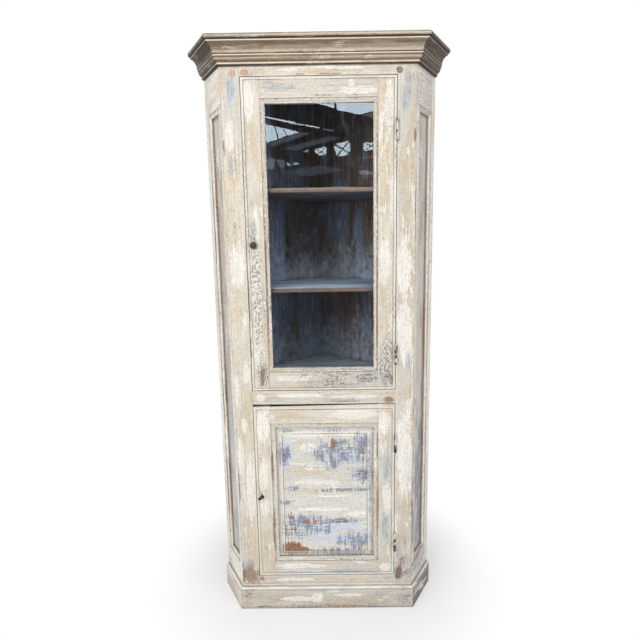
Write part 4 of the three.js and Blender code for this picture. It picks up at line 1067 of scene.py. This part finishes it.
def heads_tree(name, slotted):
    """Geometry Nodes: a low driven head on each point, turned at random, all made real."""
    tree, (places, radius, height, facing, seed, finish) = make_group(
        name, "GeometryNodeTree",
        (("Places", "Geometry"), ("Head radius", "Float"), ("Head height", "Float"), ("Facing", "Vector"),
         ("Seed", "Int"), ("Finish", "Material")), ("Heads", "Geometry"))
    head = tree.add("GeometryNodeMeshCone", {"Vertices": 14, "Radius Top": radius * 0.74, "Radius Bottom": radius,
                                             "Depth": height})
    if slotted:
        size = tree.add("ShaderNodeCombineXYZ", (radius * 3.0, radius * 0.28, height))
        bar = tree.add("GeometryNodeTransform", {"Geometry": tree.add("GeometryNodeMeshCube", {"Size": size}),
                                                 "Translation": tree.add("ShaderNodeCombineXYZ", {"Z": height})})
        head = tree.add("GeometryNodeMeshBoolean", {"Mesh 1": head, "Mesh 2": bar}, operation="DIFFERENCE")
    spin = tree.add("FunctionNodeRandomValue", {0: (0.0, 0.0, 0.0), 1: (0.0, 0.0, math.tau), "Seed": seed},
                    data_type="FLOAT_VECTOR")
    size = tree.add("FunctionNodeRandomValue", {2: 0.88, 3: 1.1, "Seed": seed}, 1, data_type="FLOAT")
    turned = tree.add("FunctionNodeRotateRotation", [tree.add("FunctionNodeEulerToRotation", (angles,))
                                                     for angles in (facing, spin)], rotation_space="LOCAL")
    heads = tree.add("GeometryNodeInstanceOnPoints", {"Points": places, "Instance": head, "Rotation": turned,
                                                      "Scale": size})
    real = tree.add("GeometryNodeRealizeInstances", {"Geometry": heads})
    tree.node("NodeGroupOutput", {"Heads": tree.add("GeometryNodeSetMaterial", {"Geometry": real,
                                                                               "Material": finish})})
    return tree.tree


NAIL_HEADS = heads_tree("nail_heads", False)
SCREW_HEADS = heads_tree("screw_heads", True)


def drive(name, tree, places, facing, radius, height, finish, body, seed):
    """Sets a driven head on each of places, looking along facing."""
    mesh = bpy.data.meshes.new(name)
    mesh.from_pydata(places, [], [])
    piece = add_piece(name, mesh)
    modifier = piece.modifiers.new("heads", "NODES")
    modifier.node_group = tree
    asked = {"Head radius": radius, "Head height": height, "Seed": seed, "Finish": FINISH[finish],
             "Facing": tuple(Vector(facing).to_track_quat("Z", "Y").to_euler())}
    for item in tree.interface.items_tree:
        if item.name in asked:
            modifier[item.identifier] = asked[item.name]
    settle(piece)
    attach(piece, body)


def drive_wall_nails():
    """Two nails through each wall board into every board that it meets, seen from behind."""
    joints, sunk, stray = {"left": (0, 185, 389, 588), "right": (0, 227, 411, 588)}, 0.0006, 0.006
    levels = [(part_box(board)[0].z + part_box(board)[1].z) / 2 for board in
              ("base_board", "cupboard_floor", "shelf_lower", "shelf_upper", "top_board")]
    for side, sign in (("left", -1), ("right", 1)):
        outward, along = Vector((sign, 1, 0)).normalized(), Vector((sign, -1, 0)).normalized()
        surface = max(outward.dot(v.co) for v in NODES[f"wall_board_{side}_2"].data.vertices)
        corner = along.dot(BACK * surface * math.sqrt(2))
        places = []
        for near, far in zip(joints[side], joints[side][1:]):
            for step, level in enumerate(levels):
                for share in (0.22, 0.78):
                    wander = math.sin(13.7 * (step + 1) * (near + 50) * share) * stray
                    reach = corner + (near + (far - near) * share) * MM + wander
                    spot = along * reach + outward * (surface - sunk)
                    places.append((spot.x, spot.y, level + wander * 0.5))
        drive(f"wall_nails_{side}", NAIL_HEADS, places, outward, 0.0034, 0.0012, "nail_iron", "case",
              3 + sign)


def front_of(node, x, z):
    """How far forward a CAD node's surface stands at a place on the front."""
    mesh = NODES[node].data
    tree = BVHTree.FromPolygons([v.co for v in mesh.vertices], [tuple(face.vertices) for face in mesh.polygons])
    return tree.ray_cast(Vector((x, -2.0, z)), BACK)[0].y


def drive_front_nails():
    """The few nail heads that show on the cornice, a little sunk in its paint."""
    sunk = 0.0003
    spots = [(-172, 2032), (-60, 2051), (-52, 2052), (-14, 2047), (146, 2035), (226, 2086), (-250, 2086), (64, 2090)]
    places = [(x * MM, front_of("cornice_front", x * MM, z * MM) + sunk, z * MM) for x, z in spots]
    drive("cornice_nails", NAIL_HEADS, places, (0, -1, 0), 0.0022, 0.0006, "nail_iron", "case", 5)


def drive_hinge_screws():
    """Three slotted screws in each hinge leaf, the middle one set further back."""
    leaf_middle, sunk = FACE_Y + 0.0135, 0.0004
    for door in ("upper", "lower"):
        for body, leaf, facing in (("case", "frame_leaf", -1), (f"{door}_door", "door_leaf", 1)):
            places = []
            for number in (1, 2):
                low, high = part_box(f"{door}_hinge_{number}_{leaf}")
                flat = low.x if facing < 0 else high.x
                for share, step in ((0.17, -0.002), (0.5, 0.003), (0.83, -0.002)):
                    places.append((flat - facing * sunk, leaf_middle + step, low.z + (high.z - low.z) * share))
            drive(f"{door}_{leaf}_screws", SCREW_HEADS, places, (facing, 0, 0), 0.0031, 0.0008, "hinge_leaf_iron",
                  body, 11)


# The studio: camera, lamps, background and floor

def set_camera():
    """The photograph's viewpoint: a little right of the middle, at eye height, looking slightly down."""
    yaw, down, roll = -0.0057, 0.1655, -0.0136
    data = bpy.data.cameras.new("viewpoint")
    data.sensor_width = 36.0
    data.lens = 28.125
    data.shift_x = -0.02025
    data.shift_y = 0.00261
    data.clip_start = 0.05
    camera = add_piece("viewpoint", data)
    camera.matrix_world = Matrix.Translation((0.0478, FACE_Y - 1.7829, 1.4476))
    for angle, axis in ((-yaw, "Z"), (math.pi / 2 - down, "X"), (roll, "Z")):
        camera.matrix_world = camera.matrix_world @ Matrix.Rotation(angle, 4, axis)
    bpy.context.scene.camera = camera


def soft_lamp(name, place, width, height, brightness):
    """A softbox of a given brightness, where 1 is the white of the background, that looks at the cupboard."""
    data = bpy.data.lights.new(name, "AREA")
    data.shape = "RECTANGLE"
    data.size, data.size_y = width, height
    data.energy = brightness * math.pi * width * height
    lamp = add_piece(name, data)
    lamp.location = place
    lamp.rotation_euler = (Vector((0.0, FACE_Y, 1.0)) - Vector(place)).to_track_quat("-Z", "Y").to_euler()


def background_paths(tree):
    """1 for the rays that see the background: the camera's, and those mirrored or let through."""
    path = tree.node("ShaderNodeLightPath").outputs
    camera, mirrored, through = (Amount(tree, path[label]) for label in
                                 ("Is Camera Ray", "Is Glossy Ray", "Is Transmission Ray"))
    return tree.most(camera, mirrored, through), mirrored


def darker_in_front(tree, place, reach, mirrored):
    """Brightness 1, but for mirrored rays only a little of it far in front."""
    front = tree.apart(place)[1].eased(*reach, 1.0, 0.12)
    return tree.add("ShaderNodeMix", {0: mirrored, 2: 1.0, 3: front})


def set_world():
    """Plain soft light all round, and a white background that is darker far in front."""
    world = bpy.data.worlds.new("studio")
    bpy.context.scene.world = world
    world.use_nodes = True
    tree = Tree(world.node_tree)
    seen_by, mirrored = background_paths(tree)
    brightness = darker_in_front(tree, tree.add("ShaderNodeTexCoord", answer="Generated"), (-0.1, -0.6), mirrored)
    light = tree.add("ShaderNodeBackground", ((0.97, 0.985, 1.0, 1.0), 0.42))
    white = tree.add("ShaderNodeBackground", ((1.0, 1.0, 1.0, 1.0), brightness))
    tree.node("ShaderNodeOutputWorld", {"Surface": tree.add("ShaderNodeMixShader", (seen_by, light, white))})


def lay_floor():
    """A pale floor that keeps the cupboard's shadow and fades into the white background."""
    mesh = bpy.data.meshes.new("studio_floor")
    count, reach = 64, 14.0
    rim = [(reach * math.cos(math.tau * i / count), reach * math.sin(math.tau * i / count), 0) for i in range(count)]
    mesh.from_pydata(rim, [], [tuple(range(count))])
    floor = add_piece("studio_floor", mesh)
    floor.location.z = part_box("plinth_front")[0].z
    mix = Finish("floor_white")
    seen_by, mirrored = background_paths(mix)
    fade = mix.length(mix.spot).eased(0.34, 0.8, 0.35, 1.0)
    diffuse = mix.add("ShaderNodeBsdfDiffuse", ("fafafa",))
    glow = mix.add("ShaderNodeEmission", {"Strength": darker_in_front(mix, mix.spot, (-1.0, -2.2), mirrored)})
    mix.done(mix.add("ShaderNodeMixShader", (fade * seen_by, diffuse, glow)))
    mesh.materials.append(mix.material)


# Windows in the roof behind the camera, which only the glass mirrors: brightness and corners (x, z)

ROOF_WINDOWS = [
    (15, [(-0.16, 2.9), (0.05, 2.9), (0.06, 2.66), (-0.12, 2.71)]),
    (15, [(0.07, 2.9), (0.5, 2.9), (0.45, 2.64), (0.3, 2.6), (0.08, 2.65)]),
    (14, [(-0.61, 2.6), (-0.31, 2.54), (-0.31, 2.52), (-0.61, 2.59)]),
    (14, [(-0.3, 2.53), (-0.12, 2.5), (-0.07, 2.48), (-0.3, 2.52)]),
    (3, [(-0.05, 2.48), (0.05, 2.46), (0.04, 2.45), (-0.05, 2.47)]),
    (14, [(-0.61, 2.53), (-0.52, 2.51), (-0.48, 2.39), (-0.58, 2.36), (-0.62, 2.38)]),
    (14, [(-0.51, 2.51), (-0.44, 2.49), (-0.4, 2.42), (-0.47, 2.39)]),
    (14, [(-0.43, 2.49), (-0.28, 2.45), (-0.39, 2.42)]),
    (6, [(-0.26, 2.27), (-0.19, 2.29), (-0.2, 2.26), (-0.25, 2.27)]),
    (2.5, [(-0.59, 2.21), (-0.51, 2.21), (-0.53, 2.12), (-0.56, 2.11), (-0.6, 2.13)]),
    (2, [(-0.5, 2.2), (-0.42, 2.2), (-0.43, 2.13), (-0.47, 2.12)]),
    (7, [(-0.41, 2.19), (-0.36, 2.14), (-0.4, 2.14)]),
    (8, [(-0.34, 2.17), (-0.29, 2.17), (-0.29, 2.15), (-0.34, 2.15)]),
    (3, [(0.29, 2.08), (0.35, 2.09), (0.44, 2.06), (0.44, 2.05), (0.3, 2.05)]),
]
BRACED_WINDOWS = [
    [(0.04, 2.34), (0.21, 2.37), (0.21, 2.24), (0.08, 2.21)],
    [(-0.14, 2.29), (-0.01, 2.32), (-0.03, 2.23), (-0.12, 2.24)],
    [(0.33, 2.35), (0.49, 2.35), (0.49, 2.29), (0.33, 2.26)],
]
WINDOWS_Y = FACE_Y - 3.2
PALE_BEAMS = [
    (1.9, [(0.32, 2.6), (0.45, 2.63), (0.45, 2.56)]),
    (1.5, [(-0.57, 2.35), (-0.28, 2.45), (-0.16, 2.44), (-0.54, 2.32)]),
    (1.1, [(-0.45, 2.3), (0.02, 2.41), (0.12, 2.39), (-0.31, 2.28)]),
    (0.9, [(-0.51, 2.08), (-0.12, 2.14), (-0.06, 2.14), (0.17, 2.1), (-0.19, 2.04)]),
    (1.5, [(0.3, 2.2), (0.42, 2.23), (0.45, 2.23), (0.45, 2.21), (0.31, 2.19)]),
    (1.5, [(-0.05, 1.93), (0.07, 1.95), (0.3, 1.94), (0.15, 1.93)]),
]


def hang_window(number, brightness, corners):
    """One lit shape behind the camera, which only mirrored rays see."""
    mesh = bpy.data.meshes.new(f"roof_window_{number}")
    mesh.from_pydata([(x, WINDOWS_Y, z) for x, z in corners], [], [tuple(range(len(corners)))])
    window = add_piece(mesh.name, mesh)
    mix = Finish(mesh.name)
    mix.material.cycles.emission_sampling = "NONE"
    mix.done(mix.add("ShaderNodeEmission", ((0.72, 0.88, 1.0, 1.0), brightness)))
    mesh.materials.append(mix.material)
    window.visible_camera = window.visible_diffuse = window.visible_shadow = False
    window.visible_transmission = False


def hang_roof_windows():
    """All of them, the braced windows cut into four panes each, with bars between."""
    lit, pane_share, braced = 14, 0.8, []
    for corners in BRACED_WINDOWS:
        middle = [sum(corner[i] for corner in corners) / 4 for i in (0, 1)]
        for index, corner in enumerate(corners):
            pane = [corner, corners[(index + 1) % 4], middle]
            heart = [sum(point[i] for point in pane) / 3 for i in (0, 1)]
            braced.append((lit, [[h + (p - h) * pane_share for p, h in zip(point, heart)] for point in pane]))
    for number, (brightness, corners) in enumerate(ROOF_WINDOWS + braced + PALE_BEAMS):
        hang_window(number, brightness, corners)


set_camera()
set_world()
lay_floor()
soft_lamp("key_softbox", (-1.9, FACE_Y - 3.2, 2.2), 2.0, 2.4, 4.15)
soft_lamp("fill_softbox", (3.0, FACE_Y - 2.2, 1.3), 1.4, 1.8, 4.1)
soft_lamp("side_softbox", (-3.2, FACE_Y - 1.3, 1.4), 1.2, 1.8, 1.6)
soft_lamp("roof_softbox", (0.3, FACE_Y - 2.4, 3.3), 1.8, 0.9, 4.4)
hang_roof_windows()
paint_face()
for side in ("left", "right"):
    paint_side(side)
    board_side(side)
finish_boards()
finish_fittings()
join_face()
join_side("left")
join_side("right")
lay_boards()
hang_doors()
run_mouldings()
dress_fittings()
drive_wall_nails()
drive_front_nails()
drive_hinge_screws()
thicken_key_bow()
lay_putty()
bpy.context.scene.view_settings.view_transform = "Standard"
